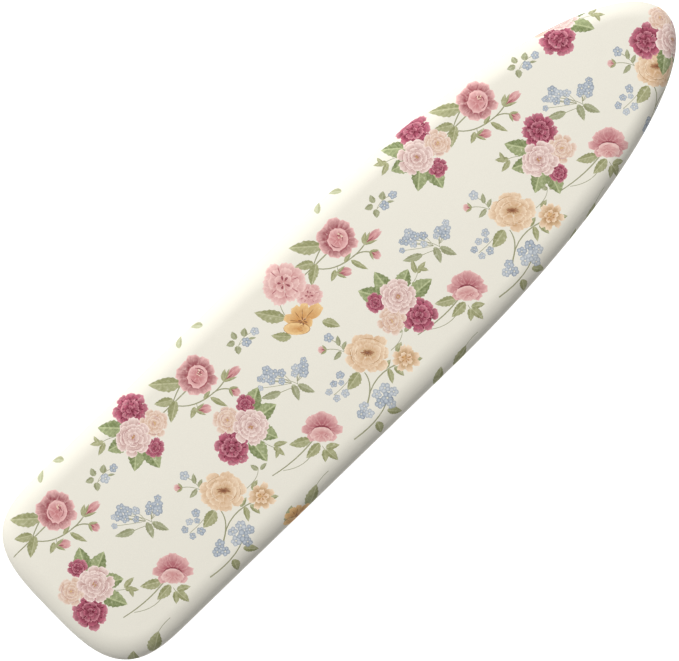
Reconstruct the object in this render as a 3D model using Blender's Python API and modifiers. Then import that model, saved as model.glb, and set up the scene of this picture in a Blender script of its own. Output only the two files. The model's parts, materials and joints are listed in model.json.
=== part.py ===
"""A folding ironing board: padded mesh deck on a scissor frame, standing open at its full height.

Metres, +Z up. The origin is on the floor under the middle of the board, +X points to the nose
and +Y to the left. The outer leg frame hinges on the deck near the tail. The inner leg frame hinges
on a slider that runs along two slotted rails, so the frame folds flat under the deck.
"""

import math

import bmesh
import bpy
from mathutils import Matrix, Vector

# Plan of the padded board: a rounded tail, straight sides and an elliptical nose.
LENGTH = 1.372
WIDTH = 0.338
TAIL_ROUND = 0.150
TAIL_SQUARENESS = 3.0
NOSE_TAPER = 0.640
NOSE_STEPS = 24
TAIL_STEPS = 16

# The stack from the ironing surface down.
HEIGHT = 0.915
GAP = 0.0003
COVER_THICK = 0.0012
CROWN_WIDTH = 0.048
CROWN_DROP = 0.020
CROWN_STEPS = 6
HEM_WIDTH = 0.034
HEM_ROUND = 0.008
ELASTIC_RADIUS = 0.002
PAD_THICK = 0.009
PAD_EDGE = 0.009
DECK_THICK = 0.0008
RIM_INSET = 0.010
RIM_THICK = 0.0009
RIM_HEIGHT = 0.022
RIM_FLANGE = 0.016
PAD_TOP = HEIGHT - COVER_THICK - 2 * GAP
DECK_TOP = PAD_TOP - PAD_THICK - GAP
DECK_BOTTOM = DECK_TOP - DECK_THICK
RIM_TOP = DECK_BOTTOM - GAP
RIM_BOTTOM = RIM_TOP - RIM_HEIGHT
COVER_BOTTOM = RIM_BOTTOM - 0.0027

# The deck's diamond openings.
DIAMOND_PITCH = (0.080, 0.040)
STRAND = 0.008
DECK_MARGIN = 0.020

# Cross braces, and the plates riveted under them.
BRACE_THICK = 0.0012
BRACE_DEPTH = 0.0118
BRACE_BASE = 0.048
BRACE_FLANGE = 0.012
PLATE = 0.002
BRACE_BOTTOM = RIM_TOP - BRACE_DEPTH
PLATE_TOP = BRACE_BOTTOM - GAP
PLATE_BOTTOM = PLATE_TOP - PLATE
RIVET_RADIUS = 0.0022
RIVET_HEAD = 0.0045

# The scissor frame.
PIVOT_X = -0.486
PIVOT_Z = 0.864
LEG = 1.130
UPPER_LEG = 0.490
FOOT_AXIS_Z = 0.015
OPEN_ANGLE = math.asin((PIVOT_Z - FOOT_AXIS_Z) / LEG)
FOLDED_ANGLE = math.radians(3)
OUTER_Y = 0.096
INNER_Y = 0.062
OUTER_RADIUS = 0.011
INNER_RADIUS = 0.010
TUBE_WALL = 0.0009
TUBE_END = 0.016
PIN_RADIUS = 0.004
CLEARANCE = 0.0003
SPREADER_AT = 0.800
SPREADER_RADIUS = 0.008

# Feet.
FOOT_RADIUS = 0.011
FOOT_HALF = 0.140
CAP_RADIUS = 0.0165
CAP_GRIP = 0.024
CAP_END = 0.020

# The slider, its rails and its lock.
AXLE_RADIUS = 0.005
AXLE_HALF = 0.078
RAIL_Y = 0.040
RAIL_DROP = 0.014
RAIL_FLANGE = 0.017
BUSH_RADIUS = 0.0065
BUSH_FLANGE = 0.010
ROD_RADIUS = 0.004
ROD_Z = PIVOT_Z + 0.0155
TONGUE_IN = 0.012
YOKE_HALF = 0.012
YOKE_CHEEK = 0.009
LOCK_PLATE = 0.0025
LEVER_REACH = 0.095
LEVER_DROP = 0.050
LEVER_HALF = 0.062
LEVER_WIRE = 0.003
LEVER_WIRE_Z = -0.0140
LEVER_BEND = 0.010
GRIP_HALF = 0.044
GRIP_RADIUS = 0.0075

SIDES = (("left", 1), ("right", -1))
PIVOT = Vector((PIVOT_X, 0, PIVOT_Z))
OUTER_WAY = Vector((math.cos(OPEN_ANGLE), 0, -math.sin(OPEN_ANGLE)))
INNER_WAY = Vector((-math.cos(OPEN_ANGLE), 0, -math.sin(OPEN_ANGLE)))
SCISSOR = PIVOT + UPPER_LEG * OUTER_WAY
SLIDER = PIVOT + Vector((2 * UPPER_LEG * math.cos(OPEN_ANGLE), 0, 0))
SLIDER_FOLDED_X = PIVOT_X + 2 * UPPER_LEG * math.cos(FOLDED_ANGLE)
MID_BRACE_X = SLIDER.x - 0.047
NOSE_BRACE_X = SLIDER_FOLDED_X + 0.042


# ---------------------------------------------------------------- scene, materials, collections


def clear_scene():
    for obj in list(bpy.data.objects):
        bpy.data.objects.remove(obj)


def collection(name):
    made = bpy.data.collections.new(name)
    bpy.context.scene.collection.children.link(made)
    return made


def material(name, colour, roughness, metallic=0.0):
    made = bpy.data.materials.new(name)
    made.use_nodes = True
    shader = made.node_tree.nodes["Principled BSDF"]
    shader.inputs["Base Color"].default_value = (*colour, 1)
    shader.inputs["Roughness"].default_value = roughness
    shader.inputs["Metallic"].default_value = metallic
    return made


clear_scene()
BOARD = collection("ironing_board")
CUTTERS = collection("cutters")
CUTTERS.hide_render = True
COVER = material("cover_cotton", (0.84, 0.81, 0.73), 0.85)
FELT = material("pad_felt", (0.80, 0.79, 0.76), 0.95)
ELASTIC = material("hem_elastic", (0.85, 0.85, 0.83), 0.8)
PAINT = material("white_powder_coat", (0.80, 0.80, 0.78), 0.4)
ZINC = material("zinc_plate", (0.66, 0.67, 0.68), 0.35, 1.0)
NYLON = material("grey_nylon", (0.30, 0.32, 0.34), 0.5)
RUBBER = material("foot_rubber", (0.16, 0.17, 0.18), 0.7)


# ---------------------------------------------------------------- shape builders


def add_object(name, data, paint, place=None, into=None):
    made = bpy.data.objects.new(name, data)
    data.materials.append(paint)
    (into or BOARD).objects.link(made)
    made.matrix_world = place or Matrix()
    return made


def mesh_from(bm, name):
    bmesh.ops.recalc_face_normals(bm, faces=bm.faces)
    mesh = bpy.data.meshes.new(name)
    bm.to_mesh(mesh)
    bm.free()
    mesh.shade_smooth()
    mesh.set_sharp_from_angle(angle=math.radians(35))
    return mesh


def pointing(base, way):
    """A placement at base whose local +Z runs along way."""
    return Matrix.Translation(base) @ Vector(way).to_track_quat("Z", "Y").to_matrix().to_4x4()


def turned(name, profile, paint, place, steps=16, loop=False):
    """A profile of (radius, height) pairs spun about local Z, outer side first, from its top down."""
    mesh = bpy.data.meshes.new(name)
    count = len(profile)
    edges = [(i, i + 1) for i in range(count - 1)]
    if loop:
        edges.append((count - 1, 0))
    mesh.from_pydata([(radius, 0, height) for radius, height in profile], edges, [])
    made = add_object(name, mesh, paint, place)
    spin = made.modifiers.new("spin", "SCREW")
    spin.steps = spin.render_steps = steps
    spin.use_merge_vertices = True
    spin.merge_threshold = 0.00001
    spin.use_smooth_shade = False
    return made


def tube(name, start, end, radius, paint, wall=TUBE_WALL, steps=16):
    """A straight open-ended tube between two points."""
    run = end - start
    bore = radius - wall
    profile = [(radius, run.length), (radius, 0), (bore, 0), (bore, run.length)]
    return turned(name, profile, paint, pointing(start, run), steps, loop=True)


def rod(name, start, end, radius, paint, steps=16):
    """A solid round bar between two points."""
    run = end - start
    profile = [(0, run.length), (radius, run.length), (radius, 0), (0, 0)]
    return turned(name, profile, paint, pointing(start, run), steps)


def flat(name, outlines, thickness, paint, place):
    """A plate in local XY, centred on its thickness: the first outline, less any others as holes."""
    curve = bpy.data.curves.new(name, "CURVE")
    curve.dimensions = "2D"
    curve.fill_mode = "BOTH"
    curve.extrude = thickness / 2
    for points in outlines:
        spline = curve.splines.new("POLY")
        spline.points.add(len(points) - 1)
        for point, (x, y) in zip(spline.points, points):
            point.co = (x, y, 0, 1)
        spline.use_cyclic_u = True
    return add_object(name, curve, paint, place)


def as_mesh(curve_object):
    """The same object as a welded mesh, so that it can be cut or joined."""
    bpy.context.view_layer.update()
    graph = bpy.context.evaluated_depsgraph_get()
    mesh = bpy.data.meshes.new_from_object(curve_object.evaluated_get(graph))
    bm = bmesh.new()
    bm.from_mesh(mesh)
    bmesh.ops.remove_doubles(bm, verts=bm.verts, dist=0.00001)
    bm.to_mesh(mesh)
    bm.free()
    name, place = curve_object.name, curve_object.matrix_world.copy()
    bpy.data.objects.remove(curve_object)
    made = bpy.data.objects.new(name, mesh)
    BOARD.objects.link(made)
    made.matrix_world = place
    return made


def wire(name, points, radius, paint, loop=False, sides=2):
    """A round wire through points."""
    curve = bpy.data.curves.new(name, "CURVE")
    curve.dimensions = "3D"
    curve.bevel_depth = radius
    curve.bevel_resolution = sides
    curve.use_fill_caps = not loop
    spline = curve.splines.new("POLY")
    spline.points.add(len(points) - 1)
    for point, place in zip(spline.points, points):
        point.co = (*place, 1)
    spline.use_cyclic_u = loop
    return add_object(name, curve, paint)


def rounded(points, radius, steps=4):
    """The same open path with each inner corner turned into a curve that starts radius before it."""
    path = [points[0]]
    for before, corner, after in zip(points, points[1:], points[2:]):
        start = corner + (before - corner).normalized() * radius
        end = corner + (after - corner).normalized() * radius
        for i in range(steps + 1):
            t = i / steps
            path.append(start * (1 - t) ** 2 + corner * 2 * t * (1 - t) + end * t * t)
    return path + [points[-1]]


def boolean(target, tool, operation="DIFFERENCE"):
    """Cuts tool from target, or joins it, and puts tool away with the cutters."""
    step = target.modifiers.new(tool.name, "BOOLEAN")
    step.operation = operation
    step.object = tool
    if tool.name not in CUTTERS.objects:
        for owner in list(tool.users_collection):
            owner.objects.unlink(tool)
        CUTTERS.objects.link(tool)
        tool.hide_render = True
        tool.display_type = "WIRE"


def drill(targets, centre, way, radius, length, steps=16):
    """A straight round hole through each target, centred on a point."""
    way = Vector(way).normalized()
    start, end = centre - way * length / 2, centre + way * length / 2
    bit = rod("bit", start, end, radius, PAINT, steps)
    for target in targets:
        boolean(target, bit)


def side_plate(x, y):
    """A placement that stands a local XY outline up in the board's XZ plane, at y."""
    return Matrix.Translation((x, y, 0)) @ Matrix.Rotation(math.radians(90), 4, "X")


def cross_plate(x):
    """A placement that stands a local XY outline up in the board's YZ plane, at x."""
    turn = Matrix.Rotation(math.radians(90), 4, "Z") @ Matrix.Rotation(math.radians(90), 4, "X")
    return Matrix.Translation((x, 0, 0)) @ turn


def rectangle(low, high):
    return [(low[0], low[1]), (high[0], low[1]), (high[0], high[1]), (low[0], high[1])]


def signed_power(value, exponent):
    return math.copysign(abs(value) ** exponent, value)


def outline(inset):
    """The board's plan pulled in by inset, counter-clockwise from the right-hand end of the nose."""
    half = WIDTH / 2 - inset
    nose_x = LENGTH / 2 - NOSE_TAPER
    tail_x = TAIL_ROUND - LENGTH / 2
    points = []
    for i in range(NOSE_STEPS + 1):
        turn = math.pi * (i / NOSE_STEPS - 0.5)
        points.append((nose_x + (NOSE_TAPER - inset) * math.cos(turn), half * math.sin(turn)))
    for i in range(TAIL_STEPS + 1):
        turn = math.pi * (i / TAIL_STEPS + 0.5)
        along = signed_power(math.cos(turn), 2 / TAIL_SQUARENESS)
        across = signed_power(math.sin(turn), 2 / TAIL_SQUARENESS)
        points.append((tail_x + (TAIL_ROUND - inset) * along, half * across))
    return points


def half_width(x, inset):
    """Half the plan's width at x, pulled in by inset, over the straight and nose stretches."""
    nose_x = LENGTH / 2 - NOSE_TAPER
    along = max(0.0, (x - nose_x) / (NOSE_TAPER - inset))
    return (WIDTH / 2 - inset) * math.sqrt(max(0.0, 1 - along * along))


def lofted(name, rings, paint, close_first=False, close_last=False):
    """A skin through rings of the plan, each an (inset, height) pair, with its ends closed or open."""
    bm = bmesh.new()
    loops = []
    for inset, z in rings:
        loops.append([bm.verts.new((x, y, z)) for x, y in outline(inset)])
    for above, below in zip(loops, loops[1:]):
        for i in range(len(above)):
            bm.faces.new((above[i - 1], below[i - 1], below[i], above[i]))
    for wanted, loop in ((close_first, loops[0]), (close_last, loops[-1])):
        if wanted:
            bm.faces.new(loop)
    return add_object(name, mesh_from(bm, name), paint)


def thicken(obj, thickness):
    """Gives an open skin its thickness, inwards from the side it faces."""
    solid = obj.modifiers.new("sheet", "SOLIDIFY")
    solid.thickness = thickness
    solid.offset = -1
    solid.use_even_offset = True


def hang(children, name, place):
    """Parents pieces to an empty on their joint's axis."""
    pivot = bpy.data.objects.new(name, None)
    BOARD.objects.link(pivot)
    pivot.matrix_world = Matrix.Translation(place)
    bpy.context.view_layer.update()
    for child in children:
        child.parent = pivot
        child.matrix_parent_inverse = pivot.matrix_world.inverted()


# ---------------------------------------------------------------- the padded deck


def crown(depth, last):
    """Rings over the rounded edge, depth under its outside, from the flat top out to the inset last."""
    rings = []
    for i in range(CROWN_STEPS + 1):
        inset = CROWN_WIDTH + (last - CROWN_WIDTH) * math.sin(math.pi / 2 * i / CROWN_STEPS)
        out = 1 - inset / CROWN_WIDTH
        level = math.sqrt(1 - out * out)
        tilt = math.atan2(CROWN_DROP * out, CROWN_WIDTH * level)
        below = depth / math.cos(tilt) if depth else 0
        rings.append((inset, HEIGHT - CROWN_DROP * (1 - level) - below))
    return rings


def cover():
    """The fabric cover: flat top, rounded edge, and the side and hem that draw in under the rim."""
    rings = crown(0, 0.0)
    rings.append((HEM_ROUND * 0.3, (HEIGHT - CROWN_DROP + COVER_BOTTOM) / 2))
    rings += [(HEM_ROUND * 0.8, COVER_BOTTOM + HEM_ROUND * 0.3), (HEM_ROUND * 1.2, COVER_BOTTOM)]
    rings.append((HEM_WIDTH, COVER_BOTTOM))
    made = lofted("fabric_cover", rings, COVER, close_first=True)
    thicken(made, COVER_THICK)


def hem_elastic():
    """The elastic cord that runs right round inside the hem."""
    z = COVER_BOTTOM + COVER_THICK / 2
    ring = [(x, y, z) for x, y in outline(HEM_WIDTH + ELASTIC_RADIUS + 0.0012)]
    wire("hem_elastic", ring, ELASTIC_RADIUS, ELASTIC, loop=True, sides=1)


def foam_pad():
    """The felt-faced foam pad on the deck, thinning towards its edge."""
    rings = crown(COVER_THICK + 2 * GAP, PAD_EDGE)
    rings.append((PAD_EDGE, DECK_TOP + GAP))
    lofted("foam_pad", rings, FELT, close_first=True, close_last=True)


def mesh_deck():
    """The expanded steel deck: a flat sheet with staggered diamond openings."""
    pitch_x, pitch_y = DIAMOND_PITCH
    reach_x, reach_y = pitch_x / 2 - STRAND, pitch_y / 2 - STRAND / 2
    openings = []
    for row in range(-8, 9):
        for column in range(-17, 18):
            x = column * pitch_x / 2
            y = row * pitch_y / 2
            if (row + column) % 2:
                continue
            diamond = [(x + reach_x, y), (x, y + reach_y), (x - reach_x, y), (x, y - reach_y)]
            if all(inside_deck(*corner) for corner in diamond):
                openings.append(diamond)
    place = Matrix.Translation((0, 0, (DECK_TOP + DECK_BOTTOM) / 2))
    flat("mesh_deck", [outline(RIM_INSET)] + openings, DECK_THICK, PAINT, place)


def inside_deck(x, y):
    """True where the sheet is wide enough round a point for an opening to be cut."""
    tail = x - (TAIL_ROUND - LENGTH / 2)
    if tail > 0:
        return abs(y) < half_width(x, RIM_INSET + DECK_MARGIN)
    along = -tail / (TAIL_ROUND - RIM_INSET - DECK_MARGIN)
    across = abs(y) / (WIDTH / 2 - RIM_INSET - DECK_MARGIN)
    return along**TAIL_SQUARENESS + across**TAIL_SQUARENESS < 1


def deck_rim():
    """The pressed steel skirt that stiffens the deck's edge, with a flange turned in below."""
    rings = [(RIM_INSET, RIM_TOP), (RIM_INSET, RIM_BOTTOM), (RIM_INSET + RIM_FLANGE, RIM_BOTTOM)]
    made = lofted("deck_rim", rings, PAINT)
    thicken(made, RIM_THICK)


def brace(name, x):
    """A hat-section channel across the deck, its flanges under the sheet and its base down."""
    base, web = BRACE_BASE / 2, BRACE_THICK
    wide = base + BRACE_FLANGE
    half = half_width(max(x + wide, 0), RIM_INSET + RIM_THICK) - 0.001
    top, low = RIM_TOP, BRACE_BOTTOM
    profile = [(-wide, top), (-wide, top - web), (-base, top - web), (-base, low)]
    profile += [(base, low), (base, top - web), (wide, top - web), (wide, top)]
    profile += [(base - web, top), (base - web, low + web), (web - base, low + web), (web - base, top)]
    return as_mesh(flat(name, [profile], 2 * half, PAINT, side_plate(x, 0)))


def rivet(name, x, y, plates):
    """A rivet up through a plate and the brace above it, with the holes it needs."""
    drill(plates, Vector((x, y, PLATE_TOP)), (0, 0, 1), RIVET_RADIUS + CLEARANCE, 0.012, steps=8)
    top, low = BRACE_BOTTOM + BRACE_THICK + GAP, PLATE_BOTTOM - GAP
    profile = [(0, top + 0.0015), (0.0035, top + 0.0010), (0.0035, top), (RIVET_RADIUS, top)]
    profile += [(RIVET_RADIUS, low), (RIVET_HEAD, low), (RIVET_HEAD, low - 0.0008), (0, low - 0.0020)]
    turned(name, profile, ZINC, Matrix.Translation((x, y, 0)), steps=8)


# ---------------------------------------------------------------- the fixed pivot at the tail


def ear(name, y):
    """One rounded ear of a pivot bracket, standing in the XZ plane."""
    radius = 0.012
    arc = [math.radians(180 + 22.5 * i) for i in range(9)]
    points = [(radius * math.cos(turn), PIVOT_Z + radius * math.sin(turn)) for turn in arc]
    points += [(radius, PLATE_TOP - PLATE / 2), (-radius, PLATE_TOP - PLATE / 2)]
    return as_mesh(flat(name, [points], PLATE, PAINT, side_plate(PIVOT_X, y)))


def pivot_bracket(side, sign, tail_brace):
    """A riveted plate with an ear on each side of an outer leg tube."""
    centre = sign * OUTER_Y
    corners = rectangle((PIVOT_X - 0.024, centre - 0.016), (PIVOT_X + 0.024, centre + 0.016))
    height = Matrix.Translation((0, 0, PLATE_TOP - PLATE / 2))
    bracket = as_mesh(flat(f"pivot_bracket_{side}", [corners], PLATE, PAINT, height))
    reach = OUTER_RADIUS + 0.0015
    for shift in (-reach, reach):
        boolean(bracket, ear(f"ear_{side}", centre + shift), "UNION")
    drill([bracket], Vector((PIVOT_X, centre, PIVOT_Z)), (0, 1, 0), PIN_RADIUS + CLEARANCE, 0.050)
    for end, shift in (("tail", -0.018), ("nose", 0.018)):
        rivet(f"bracket_rivet_{side}_{end}", PIVOT_X + shift, centre, [bracket, tail_brace])


def pivot_pin(side, sign):
    """The headed pin on which an outer leg tube turns."""
    face = OUTER_RADIUS + 0.0015 + PLATE / 2 + GAP
    head = face + 0.0025
    profile = [(0, head), (0.0055, head), (0.007, head - 0.001), (0.007, face), (PIN_RADIUS, face)]
    profile += [(PIN_RADIUS, -face), (0.007, -face), (0.007, 0.001 - head), (0.0055, -head), (0, -head)]
    place = pointing(Vector((PIVOT_X, sign * OUTER_Y, PIVOT_Z)), (0, sign, 0))
    turned(f"pivot_pin_{side}", profile, ZINC, place)


# ---------------------------------------------------------------- legs and feet


def leg_tube(name, top, way, radius, pin_radius):
    """A leg tube from just past its top pin to its foot bar, with holes for both its pins."""
    foot = top + way * LEG
    made = tube(name, top - way * TUBE_END, foot, radius, PAINT)
    drill([made], top, (0, 1, 0), pin_radius + CLEARANCE, 0.040)
    drill([made], top + way * UPPER_LEG, (0, 1, 0), PIN_RADIUS + CLEARANCE, 0.040)
    drill([made], foot, (0, 1, 0), FOOT_RADIUS + GAP, 0.060, steps=24)
    return made


def tube_plug(name, top, way, radius):
    """The plastic plug that closes a leg tube's upper end."""
    bore = radius - TUBE_WALL - GAP
    profile = [(0, 0.0025), (radius * 0.7, 0.0022), (radius, 0.0010), (radius, GAP), (bore, GAP)]
    profile += [(bore, -0.006), (0, -0.006)]
    return turned(name, profile, NYLON, pointing(top - way * TUBE_END, -way))


def foot_bar(name, centre):
    """The cross tube that a leg frame stands on."""
    half = Vector((0, FOOT_HALF, 0))
    return tube(name, centre - half, centre + half, FOOT_RADIUS, PAINT, steps=24)


def foot_cap(name, centre, sign):
    """A rubber boot over one end of a foot bar, flat underneath where it stands on the floor."""
    bore, end = FOOT_RADIUS + GAP, CAP_END
    profile = [(0, end), (CAP_RADIUS * 0.72, end), (CAP_RADIUS, end - 0.005), (CAP_RADIUS, -CAP_GRIP)]
    profile += [(bore, -CAP_GRIP), (bore, GAP), (0, GAP)]
    place = pointing(centre + Vector((0, sign * FOOT_HALF, 0)), (0, sign, 0))
    made = turned(name, profile, RUBBER, place, steps=24)
    low = rectangle((centre.x - 0.03, sign * FOOT_HALF - 0.05), (centre.x + 0.03, sign * FOOT_HALF + 0.05))
    ground = as_mesh(flat("ground", [low], 0.020, PAINT, Matrix.Translation((0, 0, -0.010))))
    boolean(made, ground)
    return made


def leg_frame(kind, top, way, y, radius, pin_radius):
    """Two leg tubes with their plugs, the foot bar across them and its two caps."""
    made = []
    for side, sign in SIDES:
        head = top + Vector((0, sign * y, 0))
        made.append(leg_tube(f"{kind}_leg_tube_{side}", head, way, radius, pin_radius))
        made.append(tube_plug(f"{kind}_leg_plug_{side}", head, way, radius))
    foot = top + way * LEG
    made.append(foot_bar(f"{kind}_foot_bar", foot))
    for side, sign in SIDES:
        made.append(foot_cap(f"{kind}_foot_cap_{side}", foot, sign))
    return made


def scissor_joint(side, sign):
    """The bolt through one pair of crossing tubes, with its spacer and nut."""
    outside = OUTER_Y + OUTER_RADIUS + GAP - INNER_Y
    inside = -INNER_RADIUS - 0.008
    place = pointing(SCISSOR + Vector((0, sign * INNER_Y, 0)), (0, sign, 0))
    profile = [(0, outside + 0.0040), (0.0045, outside + 0.0034), (0.0085, outside + 0.0010)]
    profile += [(0.0085, outside), (PIN_RADIUS, outside), (PIN_RADIUS, inside), (0, inside)]
    bolt = turned(f"scissor_bolt_{side}", profile, ZINC, place)
    bore = PIN_RADIUS + CLEARANCE
    low, high = INNER_RADIUS + 0.0005, OUTER_Y - OUTER_RADIUS - INNER_Y - 0.0005
    profile = [(0.008, high), (0.008, low), (bore, low), (bore, high)]
    spacer = turned(f"scissor_spacer_{side}", profile, NYLON, place, loop=True)
    low, high = -INNER_RADIUS - 0.0065, -INNER_RADIUS - 0.0005
    profile = [(0.0075, high), (0.0075, low), (bore, low), (bore, high)]
    nut = turned(f"scissor_nut_{side}", profile, ZINC, place, steps=6, loop=True)
    # The nut's bore stays round although its outside has six flats.
    drill([nut], SCISSOR + Vector((0, sign * INNER_Y, 0)), (0, 1, 0), bore + 0.0002, 0.060)
    return [bolt, spacer, nut]


def leg_spreader():
    """The cross tube that ties the inner leg tubes together."""
    centre = SLIDER + INNER_WAY * SPREADER_AT
    half = Vector((0, INNER_Y, 0))
    made = tube("inner_leg_spreader", centre - half, centre + half, SPREADER_RADIUS, PAINT)
    for end in (centre - half, centre + half):
        drill([made], end, INNER_WAY, INNER_RADIUS + GAP, 0.060)
    return made


# ---------------------------------------------------------------- rails, slider and lock


def guide_rail(side, sign, braces):
    """An L-section rail whose long slot carries one slide bush."""
    inner, outer = sign * (RAIL_Y - PLATE / 2), sign * (RAIL_Y + PLATE / 2)
    wide = sign * (RAIL_Y + PLATE / 2 + RAIL_FLANGE)
    low = PIVOT_Z - RAIL_DROP
    profile = [(inner, low), (outer, low), (outer, PLATE_BOTTOM)]
    profile += [(wide, PLATE_BOTTOM), (wide, PLATE_TOP), (inner, PLATE_TOP)]
    start, end = MID_BRACE_X - 0.016, NOSE_BRACE_X + 0.016
    place = cross_plate((start + end) / 2)
    rail = as_mesh(flat(f"guide_rail_{side}", [profile], end - start, PAINT, place))
    slot = BUSH_RADIUS + GAP
    ends = (SLIDER.x - 0.0015, SLIDER_FOLDED_X + 0.0015)
    points = []
    for x, first in ((ends[1], -90), (ends[0], 90)):
        for i in range(9):
            turn = math.radians(first + 22.5 * i)
            points.append((x + slot * math.cos(turn), PIVOT_Z + slot * math.sin(turn)))
    cutter = as_mesh(flat(f"slot_{side}", [points], 0.010, PAINT, side_plate(0, sign * RAIL_Y)))
    boolean(rail, cutter)
    for end_name, x, one in (("tail", MID_BRACE_X, braces[0]), ("nose", NOSE_BRACE_X, braces[1])):
        rivet(f"rail_rivet_{side}_{end_name}", x, sign * (RAIL_Y + 0.011), [rail, one])


def rod_tongue(name, x, brace_above):
    """A tongue pressed down from a brace, with the hole that holds one end of the lock rod."""
    low, high = ROD_Z - 0.009, BRACE_BOTTOM + BRACE_THICK / 2
    corners = rectangle((-0.012, low), (0.012, high))
    tongue = as_mesh(flat(name, [corners], PLATE, PAINT, cross_plate(x)))
    boolean(brace_above, tongue, "UNION")
    drill([brace_above], Vector((x, 0, ROD_Z)), (1, 0, 0), ROD_RADIUS + CLEARANCE, 0.012)


def lock_rod():
    """The smooth bar that the lock plate grips, held by a head beyond each tongue."""
    start, end = MID_BRACE_X + TONGUE_IN, NOSE_BRACE_X - TONGUE_IN
    over, head = PLATE / 2 + GAP, 0.0025
    high, low = end - start + over, -over
    profile = [(0, high + head), (0.006, high + head), (0.006, high), (ROD_RADIUS, high)]
    profile += [(ROD_RADIUS, low), (0.006, low), (0.006, low - head), (0, low - head)]
    turned("lock_rod", profile, ZINC, pointing(Vector((start, 0, ROD_Z)), (1, 0, 0)))


def slider_set():
    """The cross axle with its bushes, sleeves and end caps."""
    half = Vector((0, AXLE_HALF, 0))
    made = [rod("slider_axle", SLIDER - half, SLIDER + half, AXLE_RADIUS, ZINC)]
    bore = AXLE_RADIUS + CLEARANCE
    groove, cheek = PLATE / 2 + 0.0004, PLATE / 2 + 0.0024
    for side, sign in SIDES:
        place = pointing(SLIDER, (0, sign, 0))
        low, high = RAIL_Y - cheek, RAIL_Y + cheek
        profile = [(BUSH_FLANGE, high), (BUSH_FLANGE, RAIL_Y + groove), (BUSH_RADIUS, RAIL_Y + groove)]
        profile += [(BUSH_RADIUS, RAIL_Y - groove), (BUSH_FLANGE, RAIL_Y - groove), (BUSH_FLANGE, low)]
        profile += [(bore, low), (bore, high)]
        made.append(turned(f"slide_bush_{side}", profile, NYLON, place, steps=20, loop=True))
        low, high = YOKE_HALF + 0.0006, RAIL_Y - cheek - GAP
        profile = [(0.007, high), (0.007, low), (bore, low), (bore, high)]
        made.append(turned(f"axle_sleeve_{side}", profile, ZINC, place, loop=True))
        low, high = RAIL_Y + cheek + GAP, INNER_Y - INNER_RADIUS - 0.0005
        profile = [(0.0075, high), (0.0075, low), (bore, low), (bore, high)]
        made.append(turned(f"axle_spacer_{side}", profile, NYLON, place, loop=True))
        low, high = INNER_Y + INNER_RADIUS + 0.0015, AXLE_HALF + 0.0025
        profile = [(0, high), (0.006, high), (0.008, high - 0.002), (0.008, low), (bore, low)]
        profile += [(bore, AXLE_HALF + GAP), (0, AXLE_HALF + GAP)]
        made.append(turned(f"axle_cap_{side}", profile, NYLON, place))
    return made


def lock_yoke():
    """The welded yoke on the axle: two cheeks, and above the axle the lock plate that grips the rod."""
    back, front, low, high = -YOKE_CHEEK, YOKE_CHEEK, LEVER_WIRE_Z - 0.0045, 0.012
    points = [(back, low), (front, low), (front, high - 0.006), (front - 0.006, high)]
    points += [(back + 0.006, high), (back, high - 0.006)]
    place = [side_plate(SLIDER.x, sign * (YOKE_HALF - PLATE / 2)) for side, sign in SIDES]
    raised = [(x, y + PIVOT_Z) for x, y in points]
    yoke = as_mesh(flat("lock_yoke", [raised], PLATE, ZINC, place[0]))
    boolean(yoke, as_mesh(flat("cheek", [raised], PLATE, ZINC, place[1])), "UNION")
    corners = rectangle((0.0005 - YOKE_HALF, PIVOT_Z + 0.0070), (YOKE_HALF - 0.0005, ROD_Z + 0.0085))
    plate = as_mesh(flat("lock_plate", [corners], LOCK_PLATE, ZINC, cross_plate(SLIDER.x)))
    boolean(yoke, plate, "UNION")
    drill([yoke], SLIDER, (0, 1, 0), AXLE_RADIUS + CLEARANCE, 0.050)
    drill([yoke], Vector((SLIDER.x, 0, ROD_Z)), (1, 0, 0), ROD_RADIUS + 0.0010, 0.012)
    return yoke


def release_lever():
    """The wire bail that is squeezed up to free the slider, from one cheek of the yoke to the other."""
    beside = YOKE_HALF + LEVER_WIRE + GAP
    root = Vector((0.003 - YOKE_CHEEK, beside, LEVER_WIRE_Z))
    knee = Vector((0.018, beside, LEVER_WIRE_Z))
    corner = Vector((LEVER_REACH, LEVER_HALF, -LEVER_DROP))
    left = [SLIDER + point for point in (root, knee, corner)]
    right = [Vector((point.x, -point.y, point.z)) for point in reversed(left)]
    points = rounded(left + right, LEVER_BEND)
    return wire("release_lever", points, LEVER_WIRE, ZINC)


def lever_grip():
    """The moulded grip on the lever's cross wire."""
    bore = LEVER_WIRE + CLEARANCE
    ends = GRIP_HALF - 0.004
    profile = [(GRIP_RADIUS * 0.8, GRIP_HALF), (GRIP_RADIUS, ends), (GRIP_RADIUS, -ends)]
    profile += [(GRIP_RADIUS * 0.8, -GRIP_HALF), (bore, -GRIP_HALF), (bore, GRIP_HALF)]
    place = pointing(SLIDER + Vector((LEVER_REACH, 0, -LEVER_DROP)), (0, 1, 0))
    return turned("lever_grip", profile, NYLON, place, steps=16, loop=True)


def lever_spring():
    """The torsion spring round the axle sleeve that swings the lever back down."""
    turns, points_a_turn, pitch, radius = 5, 12, 0.0021, 0.0092
    count = turns * points_a_turn
    start = YOKE_HALF + 0.0040
    points = []
    for i in range(count + 1):
        turn = 2 * math.pi * i / points_a_turn
        y = start + pitch * i / points_a_turn
        points.append(SLIDER + Vector((radius * math.cos(turn), y, radius * math.sin(turn))))
    return wire("lever_spring", points, 0.0007, ZINC, sides=1)


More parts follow.
